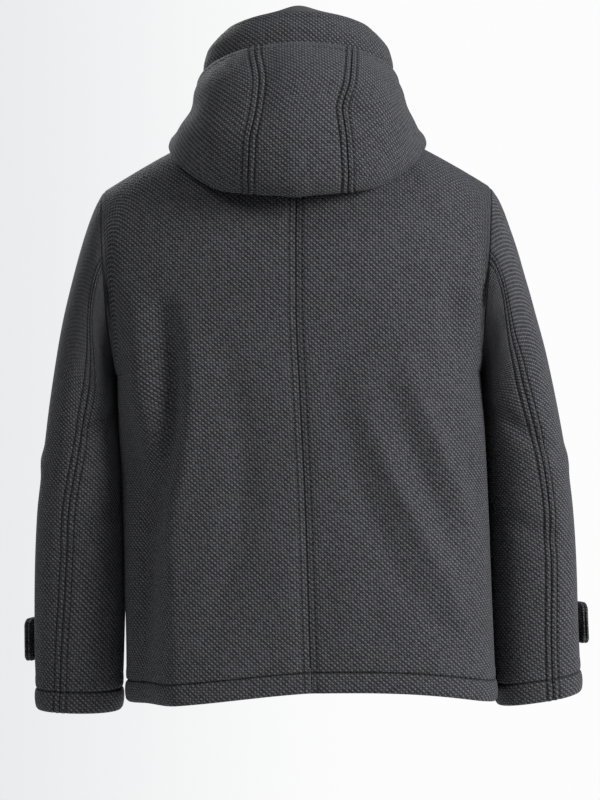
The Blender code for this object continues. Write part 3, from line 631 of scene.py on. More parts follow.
def hood_relief(turn, way):
    return sum(stroke(turn, way * HOOD_RUN, fold) for fold in HOOD_FOLDS)


def hood_seam_turn(way, hand):
    turn = np.full(np.shape(way), 25.0)
    for _ in range(5):
        grid = hood(turn, way)
        radius = np.hypot(grid[..., 0], grid[..., 1])
        turn = np.degrees(np.arcsin(np.minimum(HOOD_SEAM.at(hand, grid[..., 2]) / radius, 0.8)))
    return turn


# ------------------------------------------------------------------ building walls
def spread(length, step, fine=()):
    """Shares from 0 to 1, a step apart in the middle, with extra places near the ends.
    fine holds distances from each end that a seam or its stitching needs."""
    count = max(int(round(length / step)), 2)
    inside = np.linspace(0, 1, count + 1)
    near = np.array(sorted(fine)) / length
    margin = near[-1] + 0.4 * step / length if len(near) else 0.0
    inside = inside[(inside > margin) & (inside < 1 - margin)]
    return np.concatenate([[0.0], near, inside, 1 - near[::-1], [1.0]])


def run_lengths(grid, axis):
    """Distance along each row (axis 1) or column (axis 0) from its first point."""
    steps = np.linalg.norm(np.diff(grid, axis=axis), axis=-1)
    pad = [(0, 0), (0, 0)]
    pad[axis] = (1, 0)
    return np.cumsum(np.pad(steps, pad), axis=axis)


def from_ends(grid):
    """Distances along each row from its first and from its last point."""
    from_start = run_lengths(grid, 1)
    return from_start, from_start[:, -1:] - from_start


def end_gaps(shape, first=True, last=True):
    """Shares of the seams' gap at the first and the last column of a grid."""
    gaps = np.zeros(shape + (1,))
    gaps[:, 0] = SEAM_GAP / 2 * first
    gaps[:, -1] = -SEAM_GAP / 2 * last
    return gaps


def hem_shape(above):
    """The wall's thickness and its rise at heights above a hem's edge."""
    plain = above > HEM_REACH
    return np.where(plain, CLOTH, HEM.at("thick", above)), np.where(plain, 0.0, HEM.at("lift", above))


def seam_relief(distance, stitched=True):
    """Cloth sinks into a seam, puffs up beside it and sinks again under the topstitching."""
    relief = -crease(distance, SEAM_SINK)
    if stitched:
        relief += crease(distance - SEAM_PUFF_AT, SEAM_PUFF)
        relief -= crease(distance - STITCH_OFFSET, STITCH_SINK)
    return relief


def seam_marks(shape, stitched=FAR, groove=FAR, plain=FAR):
    """Distances to the nearest topstitched seam, sewn groove and plain seam, along which the shader paints
    shade.
    """
    return np.stack([np.broadcast_to(far, shape) for far in (stitched, groove, plain)], axis=-1)


def wall(grid, normal, rise, thick, uv, marks, shift=0.0, side=1, **more):
    """A panel's outer and inner points, with what its mesh and its stitching need."""
    outer = grid + normal * rise[..., None]
    inner = outer - normal * np.broadcast_to(thick, rise.shape)[..., None]
    return {
        "outer": pose(outer + shift, side),
        "inner": pose(inner + shift, side),
        "normal": normal * np.array([side, 1, 1]),
        "uv": uv,
        "marks": marks,
        **more,
    }


def face_outwards(mesh):
    shape = bmesh.new()
    shape.from_mesh(mesh)
    bmesh.ops.recalc_face_normals(shape, faces=shape.faces)
    shape.to_mesh(mesh)
    shape.free()


def wall_mesh(name, panel):
    """A closed wall between a panel's grids of points, with the cloth's own UV map."""
    outer, inner, uv, marks = (panel[key] for key in ("outer", "inner", "uv", "marks"))
    rows, cols = outer.shape[:2]
    count = rows * cols
    index = np.arange(count).reshape(rows, cols)
    a, b = index[:-1, :-1].ravel(), index[:-1, 1:].ravel()
    c, d = index[1:, 1:].ravel(), index[1:, :-1].ravel()
    front = np.stack([a, b, c, d], axis=1)
    back = np.stack([a, d, c, b], axis=1) + count
    rim = np.concatenate([index[0, ::-1], index[1:, 0], index[-1, 1:], index[-2::-1, -1][:-1]])
    after = np.roll(rim, -1)
    sides = np.stack([after, rim, rim + count, after + count], axis=1)
    faces = np.concatenate([front, back, sides])
    mesh = bpy.data.meshes.new(name)
    vertices = np.concatenate([outer.reshape(-1, 3), inner.reshape(-1, 3)]) * MM
    mesh.from_pydata(vertices.tolist(), [], faces.tolist())
    layer = mesh.uv_layers.new(name="cloth")
    loops = np.empty(len(mesh.loops), dtype=np.int32)
    mesh.loops.foreach_get("vertex_index", loops)
    flat = np.concatenate([uv.reshape(-1, 2), uv.reshape(-1, 2)]) * MM
    layer.data.foreach_set("uv", flat[loops].ravel())
    seams = mesh.attributes.new("seams", "FLOAT_VECTOR", "POINT")
    seams.data.foreach_set("vector", np.tile(marks.reshape(-1, 3) * MM, (2, 1)).ravel())
    face_outwards(mesh)
    return mesh


def add_piece(name, mesh, material, node=None):
    mesh.materials.clear()
    mesh.materials.append(material)
    piece = bpy.data.objects.new(name, mesh)
    bpy.context.scene.collection.objects.link(piece)
    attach(piece, "root")
    if node:
        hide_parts(node)
    return piece


def round_rims(piece, width, segments=2, angle=62):
    """Rounds a piece's edges and applies the modifier."""
    bevel = piece.modifiers.new("edge", "BEVEL")
    bevel.width = width * MM
    bevel.segments = segments
    bevel.limit_method = "ANGLE"
    bevel.angle_limit = math.radians(angle)
    bpy.ops.object.select_all(action="DESELECT")
    piece.select_set(True)
    bpy.context.view_layer.objects.active = piece
    bpy.ops.object.modifier_apply(modifier=bevel.name)
    piece.data.shade_smooth()


def cloth_piece(node, panel, material=None, edge=0.9):
    """A finished sheet in the place of its solid, which it hides."""
    name = "cloth_" + node
    piece = add_piece(name, wall_mesh(name, panel), material or wool(), node)
    round_rims(piece, edge)


# ------------------------------------------------------------------ materials
class Wiring:
    """Short hands for adding and joining nodes in one tree."""

    def __init__(self, tree):
        self.tree = tree

    def join(self, source, socket):
        """Links an output to a socket, or sets the socket's own value."""
        if isinstance(source, (int, float, tuple)):
            socket.default_value = source
        else:
            self.tree.links.new(source, socket)

    def fill(self, node, sockets):
        for name, source in sockets.items():
            self.join(source, node.inputs[name])
        return node

    def add(self, kind, sockets=None, **settings):
        made = self.tree.nodes.new("ShaderNode" + kind)
        for key, value in settings.items():
            setattr(made, key, value)
        return self.fill(made, sockets or {})

    def split(self, kind, source):
        return self.add("Separate" + kind, {0: source}).outputs

    def math(self, operation, *values):
        """One node for one or two values, and a chain of them for more."""
        made = self.add("Math", dict(enumerate(values[:2])), operation=operation).outputs[0]
        return self.math(operation, made, *values[2:]) if len(values) > 2 else made

    def plus(self, *values):
        return self.math("ADD", *values)

    def minus(self, *values):
        return self.math("SUBTRACT", *values)

    def times(self, *values):
        return self.math("MULTIPLY", *values)

    def noise(self, vector, scale, detail=2.0, rough=0.5, output="Fac"):
        sockets = {"Vector": vector, "Scale": scale, "Detail": detail, "Roughness": rough}
        return self.add("TexNoise", sockets).outputs[output]

    def spread(self, value, low, high, to_low=0.0, to_high=1.0):
        sockets = {"Value": value, "From Min": low, "From Max": high, "To Min": to_low, "To Max": to_high}
        return self.add("MapRange", sockets, interpolation_type="SMOOTHSTEP").outputs[0]

    def blend(self, factor, first, second, way="MIX"):
        sockets = {"Factor": factor, 6: first, 7: second}
        return self.add("Mix", sockets, data_type="RGBA", blend_type=way).outputs[2]

    def relief(self, height, distance):
        return self.add("Bump", {"Strength": 1.0, "Distance": distance, "Height": height}).outputs[0]


def new_material(name):
    """A material with its wiring and its shader."""
    made = bpy.data.materials.new(name)
    made.use_nodes = True
    return made, Wiring(made.node_tree), made.node_tree.nodes["Principled BSDF"]


def color(red, green, blue):
    return (red, green, blue, 1.0)


def node_group(name, inputs, outputs):
    """A shader node group with named sockets, its wiring, and the sockets seen from within."""
    group = bpy.data.node_groups.new(name, "ShaderNodeTree")
    for label, kind, default in inputs:
        socket = group.interface.new_socket(name=label, in_out="INPUT", socket_type="NodeSocket" + kind)
        if default is not None:
            socket.default_value = default
    for label, kind in outputs:
        group.interface.new_socket(name=label, in_out="OUTPUT", socket_type="NodeSocket" + kind)
    given = group.nodes.new("NodeGroupInput").outputs
    result = group.nodes.new("NodeGroupOutput").inputs
    return group, Wiring(group), given, result


def weave_group():
    """Plain weave of thick yarn. UV is in metres. Height is 0 in the gaps and 1 on a crossing;
    Weft is 1 where the crosswise yarn lies on top; Yarn is the crossing's number each way."""
    group, w, given, result = node_group(
        "basket_weave",
        [
            ("UV", "Vector", None),
            ("Warp Pitch", "Float", 0.003),
            ("Weft Pitch", "Float", 0.003),
            ("Waver", "Float", 0.2),
            ("Slant", "Float", 0.3),
            ("Diagonal", "Float", 0.4),
        ],
        [("Height", "Float"), ("Weft", "Float"), ("Yarn", "Vector")],
    )
    place = w.split("XYZ", given["UV"])
    shake = w.split("Color", w.noise(given["UV"], 130.0, 1.0, output="Color"))

    def lane(axis, pitch):
        offset = w.times(w.minus(shake[axis], 0.5), given["Waver"])
        return w.plus(w.math("DIVIDE", place[axis], given[pitch]), offset)

    u = lane(0, "Warp Pitch")
    v = lane(1, "Weft Pitch")
    i = w.math("FLOOR", u)
    j = w.math("FLOOR", v)
    local_u = w.minus(w.math("FRACT", u), 0.5)
    local_v = w.minus(w.math("FRACT", v), 0.5)
    across_v = w.minus(local_v, w.times(local_u, given["Slant"]))
    across_u = w.minus(local_u, w.times(local_v, given["Slant"]))

    def yarn(along, number, across, start, girth):
        wave = w.math("COSINE", w.plus(w.times(along, math.pi), w.times(number, math.pi)))
        body = w.minus(1.0, w.math("POWER", w.times(w.math("ABSOLUTE", across), girth), 2.0))
        return w.plus(w.times(wave, start, 0.55), w.math("SQRT", w.math("MAXIMUM", body, 0.0)))

    middle_u = w.minus(u, 0.5)
    middle_v = w.minus(v, 0.5)
    weft = yarn(middle_u, j, across_v, 1.0, 2.05)
    warp = yarn(middle_v, i, across_u, -1.0, 2.25)
    top = w.spread(w.math("MAXIMUM", weft, warp), 0.2, 1.55)
    twill = w.math("COSINE", w.times(w.minus(middle_u, middle_v), math.pi))
    drop = w.times(w.minus(1.0, twill), 0.5, given["Diagonal"])
    w.join(w.times(top, w.minus(1.0, drop)), result["Height"])
    w.join(w.spread(w.minus(weft, warp), -0.15, 0.15), result["Weft"])
    w.join(w.add("CombineXYZ", {0: i, 1: j}).outputs[0], result["Yarn"])
    return group


def seam_group():
    """Painted shade: dark lines in a seam, under its topstitches and in a sewn groove, and the cloth
    puckered beside them. Seams holds distances in metres and UV runs along the cloth."""
    group, w, given, result = node_group(
        "seam_shade",
        [
            ("Seams", "Vector", None),
            ("UV", "Vector", None),
            ("Stitch", "Float", 0.0068),
            ("Offset", "Float", 0.0077),
        ],
        [("Painted Shade", "Float"), ("Height", "Float")],
    )
    stitched, groove, plain = w.split("XYZ", given["Seams"])
    place = w.split("XYZ", given["UV"])

    def dashes(axis):
        return w.math("SINE", w.times(w.math("DIVIDE", place[axis], given["Stitch"]), 2 * math.pi))

    def near(distance, inside, outside):
        return w.spread(distance, inside, outside, 1.0, 0.0)

    down_dash = dashes(1)
    from_stitch = w.math("ABSOLUTE", w.minus(stitched, given["Offset"]))
    # The seam, stitch and groove masks are painted shade where the cloth sinks.
    stitches = w.times(near(from_stitch, 0.0002, 0.0017), w.spread(down_dash, -0.9, 0.6, 0.45, 1.0))
    sewn = w.times(near(groove, 0.0003, 0.0016), w.spread(dashes(0), -0.9, 0.6, 0.6, 1.0))
    seam = near(w.math("MINIMUM", stitched, plain), 0.0004, 0.0016)
    w.join(w.math("MAXIMUM", seam, stitches, sewn), result["Painted Shade"])
    beside = near(w.math("ABSOLUTE", w.minus(stitched, 0.004)), 0.0008, 0.0036)
    w.join(w.times(beside, down_dash, -1.0), result["Height"])
    return group


def wool_material(settings):
    """Charcoal heathered wool in a thick plain weave, matte with a soft nap."""
    made, w, shader = new_material("charcoal_wool")
    place = w.add("UVMap", uv_map="cloth").outputs[0]
    body = w.add("TexCoord").outputs["Object"]
    seams = w.add("Attribute", attribute_name="seams").outputs["Vector"]
    yarns = {
        "UV": place,
        "Warp Pitch": settings.yarn_pitch,
        "Weft Pitch": settings.yarn_pitch * 0.88,
        "Waver": 0.3,
        "Slant": 0.45,
        "Diagonal": settings.diagonal,
    }
    weave = w.add("Group", yarns, node_tree=weave_group()).outputs
    sewn = w.add("Group", {"Seams": seams, "UV": place}, node_tree=seam_group()).outputs

    fibre = w.noise(place, 1900.0, 3.0, 0.6)
    patch = w.noise(body, 9.0, 2.0)
    yarn_tone = w.add("TexWhiteNoise", {"Vector": weave["Yarn"]}, noise_dimensions="2D").outputs[0]
    # Painted shade and highlight: the weave's height darkens the gaps and lightens the crossings. The fibre,
    # yarn and patch noise are the wool's own tone.
    tone = w.plus(
        w.times(weave["Height"], 0.85),
        w.times(fibre, 0.3),
        w.times(w.minus(yarn_tone, 0.5), 0.22),
        # Painted highlight: the crosswise floats, which catch the light, are made lighter.
        w.times(w.minus(weave["Weft"], 0.6), 0.2),
        w.times(w.minus(patch, 0.5), 0.12),
    )
    shade = w.blend(w.spread(tone, 0.28, 1.15), color(*settings.wool_dark_and_gap_shade), color(*settings.wool_light_and_yarn_highlight))
    # Painted shade: near-black in the seams, under the stitches and in the sewn grooves.
    shade = w.blend(w.times(sewn["Painted Shade"], 0.85), shade, color(0.0015, 0.0015, 0.0018))
    shade = w.blend(0.1, shade, w.noise(place, 260.0, output="Color"), "SOFT_LIGHT")
    nap = w.times(w.noise(place, 3200.0, 2.0, 0.7), 0.16)
    height = w.plus(weave["Height"], nap, w.times(sewn["Height"], 0.4))
    height = w.minus(height, w.times(sewn["Painted Shade"], 0.9))
    finish = {
        "Base Color": shade,
        "Normal": w.relief(height, settings.weave_depth),
        "Roughness": w.spread(fibre, 0.3, 0.7, 0.86, 0.98),
        "Specular IOR Level": 0.18,
        "Sheen Weight": 0.06,
        "Sheen Roughness": 0.45,
        "Sheen Tint": color(0.75, 0.78, 0.85),
    }
    w.fill(shader, finish)
    return made


def facing_material(settings):
    """Smooth, fine grey facing cloth."""
    made, w, shader = new_material("grey_facing")
    place = w.add("UVMap", uv_map="cloth").outputs[0]
    fine = w.noise(place, 2400.0, 2.0, 0.6)
    tone = w.plus(w.times(fine, 0.6), w.times(w.noise(place, 60.0, 2.0), 0.4))
    dark, light = (color(*(c * share for c in settings.facing_grey)) for share in (0.75, 1.2))
    finish = {
        "Base Color": w.blend(w.spread(tone, 0.3, 0.7), dark, light),
        "Normal": w.relief(fine, 0.00025),
        "Roughness": 0.85,
        "Sheen Weight": 0.05,
    }
    w.fill(shader, finish)
    return made


def thread_material():
    """Near-black twisted sewing thread; its colour is the thread's own, kept this dark so the stitches also
    read as painted shade in their holes.
    """
    made, w, shader = new_material("dark_thread")
    bands = {"Vector": w.add("TexCoord").outputs["Object"], "Scale": 900.0}
    twist = w.add("TexWave", bands, wave_type="BANDS", bands_direction="DIAGONAL").outputs["Fac"]
    strands = w.blend(twist, color(0.004, 0.004, 0.005), color(0.014, 0.014, 0.016))
    w.fill(shader, {"Base Color": strands, "Roughness": 0.7})
    return made


def button_material():
    """Black moulded buttons with a faint marbling and fine scuffs."""
    made, w, shader = new_material("black_button")
    body = w.add("TexCoord").outputs["Object"]
    cloud = w.spread(w.noise(body, 220.0, 4.0, 0.6), 0.35, 0.7)
    scuff = w.noise(body, 2600.0, 3.0, 0.7)
    finish = {
        "Base Color": w.blend(cloud, color(0.010, 0.010, 0.011), color(0.035, 0.032, 0.030)),
        "Normal": w.relief(scuff, 0.00006),
        "Roughness": w.spread(scuff, 0.3, 0.75, 0.32, 0.55),
    }
    w.fill(shader, finish)
    return made


def floor_material():
    """Pale matte floor with a faint cloud."""
    made, w, shader = new_material("pale_floor")
    cloud = w.noise(w.add("TexCoord").outputs["Object"], 3.0, 3.0)
    pale = w.blend(cloud, color(0.74, 0.74, 0.73), color(0.80, 0.80, 0.79))
    w.fill(shader, {"Base Color": pale, "Roughness": 0.8})
    return made


def stored(name, maker):
    """A material by name, made the first time it is asked for."""
    return bpy.data.materials.get(name) or maker()


def wool():
    return stored("charcoal_wool", lambda: wool_material(bpy.context.scene.coat_cloth))


# ------------------------------------------------------------------ sewing
STITCH_SIDES = 6
# One stitch: the places of its rings along it, their heights and girths as shares of its radius.
STITCH_ALONG = np.array([0.0, 0.22, 0.5, 0.78, 1.0])
STITCH_HIGH = np.array([-0.9, 0.25, 0.5, 0.25, -0.9])
STITCH_GIRTH = np.array([0.55, 0.95, 1.0, 0.95, 0.55])


def stitch_run(line, normal, length=4.6, gap=2.2, radius=0.5, sink=0.45):
    """Vertices and faces of separate stitches that follow a line of points in millimetres."""
    steps = np.linalg.norm(np.diff(line, axis=0), axis=1)
    run = np.concatenate([[0], np.cumsum(steps)])
    sides = STITCH_SIDES
    rings = len(STITCH_ALONG)
    vertices, faces = [], []
    start = gap / 2
    while start + length < run[-1]:
        marks = start + length * STITCH_ALONG
        spine = np.stack([np.interp(marks, run, line[:, k]) for k in range(3)], axis=1)
        up = unit(np.stack([np.interp(marks, run, normal[:, k]) for k in range(3)], axis=1))
        way = unit(np.gradient(spine, axis=0))
        beside = unit(np.cross(way, up))
        up = np.cross(beside, way)
        high = STITCH_HIGH * radius - sink
        girth = STITCH_GIRTH * radius
        base = len(vertices)
        for k in range(rings):
            for s in range(sides):
                turn = 2 * math.pi * s / sides
                around = beside[k] * math.cos(turn) + up[k] * math.sin(turn)
                vertices.append(spine[k] + up[k] * high[k] + around * girth[k])
        for k in range(rings - 1):
            for s in range(sides):
                a, b = base + k * sides + s, base + k * sides + (s + 1) % sides
                faces.append((a, b, b + sides, a + sides))
        faces.append(tuple(base + s for s in range(sides)))
        faces.append(tuple(base + (rings - 1) * sides + s for s in reversed(range(sides))))
        start += length + gap
    return vertices, faces


def thread_piece(name, runs, slot="wool", **stitch):
    """One joined piece of all the stitches of a seam, a group of seams or a button."""
    vertices, faces = [], []
    for line, normal in runs:
        more, around = stitch_run(line, normal, **stitch)
        faces += [tuple(i + len(vertices) for i in face) for face in around]
        vertices += more
    mesh = bpy.data.meshes.new(name)
    mesh.from_pydata([tuple(v * MM) for v in vertices], [], faces)
    face_outwards(mesh)
    mesh.shade_smooth()
    add_piece(name, mesh, stored("dark_thread", thread_material))


def panel_line(panel, wanted):
    """Points and normals of the line at the wanted distances from a panel's first edge."""
    start = panel["start"]
    wanted = np.broadcast_to(wanted, len(start))
    return tuple(
        np.array([[np.interp(w, far, axis) for axis in row.T] for w, far, row in zip(wanted, start, grid)])
        for grid in (panel["outer"], panel["normal"])
    )


def hem_line(panel):
    k = int(np.argmin(np.abs(panel["above"] - HEM_STITCH)))
    return panel["outer"][k], panel["normal"][k]


# ------------------------------------------------------------------ the pieces
def left_fall(grid, across, down):
    """Turns the back's left side away under the arm, and lets its hem hang lower."""
    out = np.maximum(np.sin(np.radians(90 * across)), 0) ** SECTION_POWER
    full = np.maximum(np.cos(np.radians(90 * across)), 0) ** SECTION_POWER
    rounder = np.maximum(1 - out ** (2 / LEFT_POWER), 0) ** (LEFT_POWER / 2)
    depth = BODY.at("back", grid[..., 2]) - BODY.at("side_y", grid[..., 2])
    fall = ramp(out, LEFT_FALL_FROM) * ramp(-grid[..., 2], LEFT_FALL_BELOW)
    grid[..., 1] -= depth * (full - rounder) * fall
    grid[..., 2] -= HEM_DROP * np.sin(np.pi * out**HEM_DROP_SKEW) * ramp(down, HEM_DROP_FROM)


def body_panel(face, side):
    """A body panel's wall, with the distance of each point from its first edge."""
    sign = FACE_SIGN[face]
    start = -OVERLAP if face == "front" else 0.0
    across = mix(start, 1.0, spread(330, 5.0, SEAM_ROWS))[None, :]
    length = ARM_LOW - HEM_Z_SIDE
    upper = np.linspace(0, 1, 52)[:-1]
    lower = np.linspace(1, 2 - (HEM_ROWS[0] + 3) / length, 78)
    down = np.concatenate([upper, lower, 2 - HEM_ROWS / length])[:, None]
    above = (2 - down) * length
    grid = torso(face, across, down)
    if face == "back" and side > 0:
        left_fall(grid, across, down)
    thick, lift = hem_shape(above)
    from_start, from_end = from_ends(grid)
    from_top = run_lengths(grid, 0)
    edge = smooth(down / 0.15) * np.where(down <= 1, smooth((1 - across) / 0.08), 1.0)
    rise = lift + edge * body_relief(face, side, grid)
    rise = rise + np.where(down <= 1, seam_relief(from_end, False), seam_relief(from_end))
    stitched = np.where(down <= 1, FAR, from_end)
    groove = np.abs(above - HEM_STITCH) + np.zeros_like(from_end)
    if face == "front":
        rise = rise + front_lift(side, across, thick)
        rise = rise - crease(from_start - EDGE_STITCH, EDGE_SINK)
        groove = np.minimum(groove, np.abs(from_start - EDGE_STITCH))
    else:
        rise = rise + seam_relief(from_start)
        stitched = np.minimum(stitched, from_start)
    shoulder = smooth((across - NECK_SHARE) / 0.03)
    rise = rise + seam_relief(from_top) * shoulder
    stitched = np.minimum(stitched, np.where(shoulder > 0.5, from_top, FAR))
    clear = np.zeros_like(grid)
    if face == "back":
        clear[:, 0, 0] = SEAM_GAP / 2
    clear[..., 1] = np.where((across >= 1) & (down >= 1), sign * SEAM_GAP / 2, 0.0)
    clear[0, :, 1] = np.where(across[0] >= NECK_SHARE, sign * SEAM_GAP / 2, 0.0)
    level = run_lengths(grid * np.array([1, 1, 0]), 1)
    uv = np.stack([level * side, from_top[len(upper)] - from_top], axis=-1)
    marks = seam_marks(rise.shape, stitched, groove, np.where(down <= 1, from_end, FAR))
    normal = torso_normal(face, across, down)
    rows = {"down": down[:, 0], "above": above[:, 0]}
    return wall(grid, normal, rise, thick, uv, marks, clear, side, start=from_start, **rows)


def make_body():
    for side, hand in SIDES:
        for face, beside, top in (("back", STITCH_OFFSET, 0.3), ("front", EDGE_STITCH, 0.02)):
            panel = body_panel(face, side)
            node = face + "_" + hand
            cloth_piece(node, panel)
            low = panel["down"] > top
            below = panel["down"] > 1.02
            line, normal = panel_line(panel, beside)
            side_line = panel_line(panel, panel["start"][:, -1] - STITCH_OFFSET)[0]
            side_run = (side_line[below], panel["normal"][below][:, -1])
            thread_piece("stitching_" + node, [(line[low], normal[low]), side_run, hem_line(panel)])


def sleeve_panel(part, side, hand):
    seam_rows = [0, 1.5, 3, 4.6, 6.2, 7.7, 9.2, 11, 14]
    body_rows = np.linspace(18, SLEEVE_LENGTH - HEM_ROWS[0] - 3, 125)
    down = np.concatenate([seam_rows, body_rows, SLEEVE_LENGTH - HEM_ROWS])[:, None]
    above = SLEEVE_LENGTH - down
    seam = SLEEVE.at("seam_" + hand, down)
    if part == "top":
        first, last, width, middle = SLEEVE_FRONT_SEAM, seam, 230, 0.0
    else:
        first, last, width, middle = seam, SLEEVE_FRONT_SEAM + 360, 190, 180.0
    turn = mix(first, last, spread(width, 4.5, SEAM_ROWS)[None, :])
    down = np.broadcast_to(down, turn.shape)
    grid = sleeve(hand, turn, down)
    from_start, from_end = from_ends(grid)
    thick, lift = hem_shape(above)
    rise = lift + sleeve_relief(hand, turn, down)
    rise = rise + seam_relief(from_start) + seam_relief(from_end) + seam_relief(down, False)
    away = np.where((down == 0)[..., None], ARM_AWAY * SEAM_GAP, 0.0)
    along = unit(sleeve(hand, turn + 1, down) - sleeve(hand, turn - 1, down))
    shift = away + along * end_gaps(turn.shape)
    shift[..., 2] += sleeve_raise(side, turn, down)
    zero = np.array([np.interp(middle, row, far) for row, far in zip(turn, from_start)])[:, None]
    uv = np.stack([(zero - from_start) * side, -down], axis=-1)
    marks = seam_marks(turn.shape, np.minimum(from_start, from_end), np.abs(above - HEM_STITCH), down)
    normal = sleeve_normal(hand, turn, down)
    rows = {"start": from_start, "above": above[:, 0]}
    return wall(grid, normal, rise, thick, uv, marks, shift, side, **rows)


def make_sleeves():
    for side, hand in SIDES:
        for part in ("top", "under"):
            panel = sleeve_panel(part, side, hand)
            node = "sleeve_" + part + "_" + hand
            cloth_piece(node, panel)
            runs = []
            for wanted in (STITCH_OFFSET, panel["start"][:, -1] - STITCH_OFFSET):
                line, normal = panel_line(panel, wanted)
                runs.append((line[6:], normal[6:]))  # from 9 mm below the armhole seam
            thread_piece("stitching_" + node, runs + [hem_line(panel)])


def tab_stand(share, layer):
    base = mix(*TAB_STAND, smooth(share / 0.4))
    return base + TAB_LIFT * smooth((share - 0.5) / 0.5) + layer * (TAB_CLOTH + SEAM_GAP)


def tab_panel(side, hand, layer):
    """One layer of a cuff tab, with rounded corners at its free end."""
    share = np.linspace(0, 1, 41)[:, None]
    cross = np.sin(np.linspace(-0.5, 0.5, 25) * math.pi)[None, :]
    from_end = TAB_LENGTH * (1 - share)
    round_in = np.maximum(TAB_CORNER - from_end, 0)
    half = TAB_WIDTH / 2 - (TAB_CORNER - np.sqrt(np.maximum(TAB_CORNER**2 - round_in**2, 0)))
    down = TAB_ALONG + cross * half
    turn = np.broadcast_to(mix(TAB_FRONT, TAB_END, share), down.shape)
    normal = sleeve_normal(hand, turn, down)
    grid = sleeve(hand, turn, down) + normal * sleeve_relief(hand, turn, down)[..., None]
    grid[..., 2] += sleeve_raise(side, turn, down)
    edge = np.minimum(half * (1 - np.abs(cross)), from_end + 0.01)
    thin = TAB_CLOTH * TAB_THIN * (1 - np.sqrt(1 - (1 - np.clip(edge / TAB_ROUND, 0, 1)) ** 2))
    groove = crease(edge - TAB_STITCH, TAB_SINK)
    rise = tab_stand(share, layer) + TAB_CLOTH - thin - groove * layer
    thick = TAB_CLOTH - 2 * thin - groove * layer
    uv = np.stack([down, run_lengths(grid, 0) * side], axis=-1)
    marks = seam_marks(down.shape, groove=np.abs(edge - TAB_STITCH) if layer else FAR)
    return wall(grid, normal, rise, thick, uv, marks, side=side)


def make_tabs():
    for side, hand in SIDES:
        for layer, name in enumerate(("cuff_tab_under_", "cuff_tab_")):
            cloth_piece(name + hand, tab_panel(side, hand, layer), edge=0.3)


def collar_grid(ups, inset=0.0):
    turns = mix(-COLLAR_END, COLLAR_END, spread(640, 4.5, COLLAR_ROWS))[None, :]
    ups = np.broadcast_to(ups[:, None], (len(ups), turns.shape[1]))
    normal = collar_normal(turns, ups)
    return turns, collar(turns, ups) - normal * inset, normal


def make_collar():
    turns, grid, normal = collar_grid(
        np.concatenate([np.linspace(0, 0.93, 40), [0.945, 0.96, 0.972, 0.982, 0.99, 0.996, 1.0]])
    )
    from_bottom = run_lengths(grid, 0)
    from_top = from_bottom[-1:, :] - from_bottom
    from_start, from_end = from_ends(grid)
    from_side = np.minimum(from_start, from_end)
    rise = -crease(from_top - EDGE_STITCH, EDGE_SINK) - crease(from_side - EDGE_STITCH, EDGE_SINK)
    rise = rise + crease(from_bottom - COLLAR_WAVE_AT, COLLAR_WAVE) * np.sin(np.radians(turns) * 2.3 + 0.6)
    uv = np.stack([from_start - from_start[:, -1:] / 2, from_bottom], axis=-1)
    groove = np.minimum(np.abs(from_top - EDGE_STITCH), np.abs(from_side - EDGE_STITCH))
    panel = wall(grid, normal, rise, COLLAR_CLOTH, uv, seam_marks(rise.shape, groove=groove))
    cloth_piece("collar", panel, edge=1.6)
    plain = 60  # a column away from the collar's ends
    k = int(np.argmin(np.abs(from_top[:, plain] - EDGE_STITCH)))
    thread_piece("stitching_collar", [(panel["outer"][k], normal[k])])

    # The facing goes on above the collar, with a low peak at the centre back.
    turns, grid, normal = collar_grid(
        np.concatenate([np.linspace(0.06, 1.0, 36), [1.0, 1.0, 1.0]]), COLLAR_CLOTH + SEAM_GAP + FACING_CLEAR
    )
    above = np.concatenate([np.zeros(36), [0.35, 0.7, 1.0]])[:, None]
    grid[..., 2] += above * (FACING_RISE + FACING_PEAK * bump(turns, FACING_PEAK_TURN))
    uv = np.stack([run_lengths(grid, 1), run_lengths(grid, 0)], axis=-1)
    flat = np.zeros(uv.shape[:2])
    panel = wall(grid, normal, flat, FACING_CLOTH, uv, seam_marks(flat.shape))
    facing = stored("grey_facing", lambda: facing_material(bpy.context.scene.coat_cloth))
    cloth_piece("collar_facing", panel, facing, edge=0.8)


def hood_panel(node, first, last, width, zero):
    """A hood panel from its first to its last edge; 1 and -1 stand for the left and right seam.
    zero is the share of its width at which the weave's pattern starts."""
    rim = np.array([0, 0.002, 0.005, 0.01, 0.016, 0.024, 0.034, 0.046, 0.06])
    way = np.concatenate([rim, np.linspace(0.075, 1, 95)])[:, None]
    seams = {1: hood_seam_turn(way, "left"), -1: -hood_seam_turn(way, "right")}
    start, end = (seams.get(edge, np.full(way.shape, float(edge))) for edge in (first, last))
    turn = mix(start, end, spread(width, 4.0, SEAM_ROWS)[None, :])
    way = np.broadcast_to(way, turn.shape)
    grid = hood(turn, way)
    from_start, from_end = from_ends(grid)
    from_rim = run_lengths(grid, 0)
    rise = np.zeros(turn.shape)
    stitched = np.full(turn.shape, FAR)
    for edge, distance in ((first, from_start), (last, from_end)):
        if edge in seams:
            rise = rise + seam_relief(distance)
            stitched = np.minimum(stitched, distance)
    rise = rise + hood_relief(turn, way)
    rise = rise - crease(from_rim - HOOD_HEM, HOOD_HEM_SINK) + crease(from_rim - HOOD_HEM / 2, HOOD_HEM_PUFF)
    along = unit(hood(turn + 1, way) - hood(turn - 1, way))
    shift = along * end_gaps(turn.shape, first in seams, last in seams)
    uv = np.stack([from_start - from_start[:, -1:] * zero, -from_rim], axis=-1)
    marks = seam_marks(turn.shape, stitched, np.abs(from_rim - HOOD_HEM))
    cloth_piece(node, wall(grid, hood_normal(turn, way), rise, CLOTH, uv, marks, shift))


def make_hood():
    hood_panel("hood_centre", -1, 1, 114, 0.5)
    hood_panel("hood_side_left", 1, HOOD_END, 200, 0.0)
    hood_panel("hood_side_right", -HOOD_END, -1, 200, 1.0)


